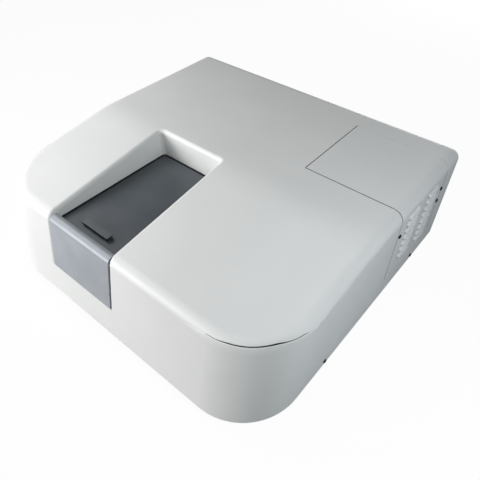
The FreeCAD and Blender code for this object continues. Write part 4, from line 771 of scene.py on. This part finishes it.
# Lamps: a deuterium and a halogen bulb of quartz in unglazed ceramic sockets, in a house folded
# from zinc-plated sheet.
CERAMIC_TONES = ((0.52, 0.46, 0.38), (0.78, 0.76, 0.70))
CERAMIC_HIGH = 0.00004
ceramic, wires, place = finish("unglazed_ceramic")
grit = wires.node("TexVoronoi", {"feature": "F1"}, {"Vector": place, "Scale": 900.0}, out="Distance")
specks = grit.ramp((0.08, 0), (0.16, 1))
shade(wires, {
    "Base Color": specks.blend(*CERAMIC_TONES),
    "Roughness": 0.62 + 0.1 * specks,
}, noise(wires, place, 1300, detail=3), CERAMIC_HIGH)
dress(ceramic, "deuterium_socket", "halogen_socket")
dress(quartz, "deuterium_lamp", "halogen_lamp")
dress(zinc, "lamp_house")


# Detector: a photomultiplier tube in a dark moulded socket, inside a box of black anodised
# aluminium that keeps stray light out.
resin = coat("dark_resin", (0.035, 0.022, 0.018), (0.060, 0.040, 0.032),
             clouds=70, rough=0.24, grain=1200, height=0.00001)
dress(resin, "detector_socket")
tube_glass = glassy("tube_glass", (0.62, 0.56, 0.46), rough=0.05)
dress(tube_glass, "photomultiplier")
dress(anodised, "detector_box")


# Electronics: the main board, with green solder mask over copper tracks and black moulded chips, on
# turned brass posts, and the power supply in a case of zinc-plated sheet.
MASK_TONES = ((0.010, 0.085, 0.035), (0.030, 0.180, 0.070))
CHIP_BLACK = (0.018, 0.018, 0.019)
CHIPS_FROM = 0.0019
TRACK_HIGH = 0.00006
board, wires, place = finish("circuit_board")
heights = wires.node("SeparateXYZ", None, {"Vector": place}, out="Z")
chips = wires.math("GREATER_THAN", heights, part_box("main_board")[0][2] + CHIPS_FROM)
tracks = wires.node("TexBrick", None, {
    "Vector": place, "Scale": 95.0, "Mortar Size": 0.06, "Mortar Smooth": 0.1,
    "Brick Width": 0.9, "Row Height": 0.22,
}, out="Fac")
filled = noise(wires, place, 45).ramp((0.45, 0), (0.5, 1))
shade(wires, {
    "Base Color": chips.blend((tracks * filled).blend(*MASK_TONES), CHIP_BLACK),
    "Roughness": 0.28 + 0.3 * chips,
}, tracks * (1 - chips), TRACK_HIGH)
dress(board, "main_board")
post_brass = coat("turned_brass", (0.58, 0.44, 0.18), (0.68, 0.53, 0.24),
                  clouds=120, rough=0.25, grain=1800, height=0.00001, metal=1.0)
dress(post_brass, "board_standoffs")
dress(zinc, "power_supply")


# Rear fittings: moulded black mains inlet, switch, fuse holder and two nickel-plated data sockets.
# The inlet's pins are bare metal, and the rocker carries the usual bar and ring.
PIN_TONES = ((0.022, 0.022, 0.023), (0.66, 0.65, 0.62))
PIN_PLACE = (-0.235, 0.2795, 0.060)
PIN_PITCH = 0.00675
PIN_HALF_WIDE = 0.00085
PIN_HALF_HIGH = 0.0017
MOULD_GRAIN_HIGH = 0.00002
inlet, wires, place = finish("inlet_and_pins")
x, y, z = [wires.node("SeparateXYZ", None, {"Vector": place}, out=axis) for axis in "XYZ"]
left, middle, right = [
    wires.math("COMPARE", x, PIN_PLACE[0] + step * PIN_PITCH, PIN_HALF_WIDE) for step in (-1, 0, 1)
]
pins = wires.math("MAXIMUM", wires.math("MAXIMUM", left, middle), right)
pins = pins * wires.math("COMPARE", z, PIN_PLACE[2], PIN_HALF_HIGH) * wires.math("LESS_THAN", y, PIN_PLACE[1])
grain = noise(wires, place, 2000)
shade(wires, {
    "Base Color": pins.blend(*PIN_TONES),
    "Roughness": 0.40 - 0.18 * pins + 0.06 * grain,
    "Metallic": pins,
}, grain, MOULD_GRAIN_HIGH)
dress(inlet, "mains_inlet")
moulded = coat("black_moulding", (0.016, 0.016, 0.017), (0.028, 0.028, 0.030),
               clouds=80, rough=0.38, grain=2000, height=0.00002)
dress(moulded, "switch_housing", "power_rocker", "fuse_holder")
nickel_shell = coat("nickel_shell", (0.60, 0.59, 0.57), (0.72, 0.71, 0.69),
                    clouds=140, rough=0.22, grain=1500, height=0.000004, metal=1.0)
dress(nickel_shell, "data_ports")
ROCKER_AT = Vector((-190, 278.5, 60))
ROCKER_TILT = math.radians(10)
ROCKER_FACE = 3.0
MARK_SUNK = -0.3
MARK_PROUD = 0.06
BAR_MARK = ((-0.45, 4.8), (0.45, 4.8), (0.45, 8.2), (-0.45, 8.2))
RING_MARK = ((1.15, MARK_SUNK), (1.15, MARK_PROUD), (1.9, MARK_PROUD), (1.9, MARK_SUNK))
RING_DOWN = 6.5
RING_SIDES = 32
outward = Vector((0, math.cos(ROCKER_TILT), -math.sin(ROCKER_TILT)))
upward = Vector((0, math.sin(ROCKER_TILT), math.cos(ROCKER_TILT)))
face = ROCKER_AT + outward * ROCKER_FACE
bar_mark = []
for level in (MARK_SUNK, MARK_PROUD):
    bar_mark.append([face + Vector((x, 0, 0)) + upward * up + outward * level for x, up in BAR_MARK])
ring_mark = []
for radius, level in RING_MARK:
    ring = []
    for k in range(RING_SIDES):
        t = math.tau * k / RING_SIDES
        up = radius * math.sin(t) - RING_DOWN
        ring.append(face + Vector((radius * math.cos(t), 0, 0)) + upward * up + outward * level)
    ring_mark.append(ring)
white_print = coat("white_print", (0.74, 0.74, 0.73), (0.80, 0.80, 0.79),
                   clouds=400, rough=0.5, grain=3000, height=0.000005)
add("rocker_marks", *several([skin(bar_mark), skin(ring_mark, along=True)]), white_print, "nylon", "rocker")
TONGUES_X = (-95, -50)
TONGUE_ENDS = (270.6, 282.0)
TONGUE_Z = 60
TONGUE_SECTION = ((-3.2, -0.9), (3.2, -0.9), (3.2, 0.9), (-3.2, 0.9))
tongues = []
for x in TONGUES_X:
    rings = [[(x + aside, y, TONGUE_Z + up) for aside, up in TONGUE_SECTION] for y in TONGUE_ENDS]
    tongues.append(skin(rings))
add("port_tongues", *several(tongues), moulded, "black_plastic")


# Fan: a moulded black frame and rotor behind the rear panel, with a guard of bent wire outside,
# welded and nickel plated.
dress(moulded, "fan_frame", "fan_rotor")
dress(nickel, "fan_guard")
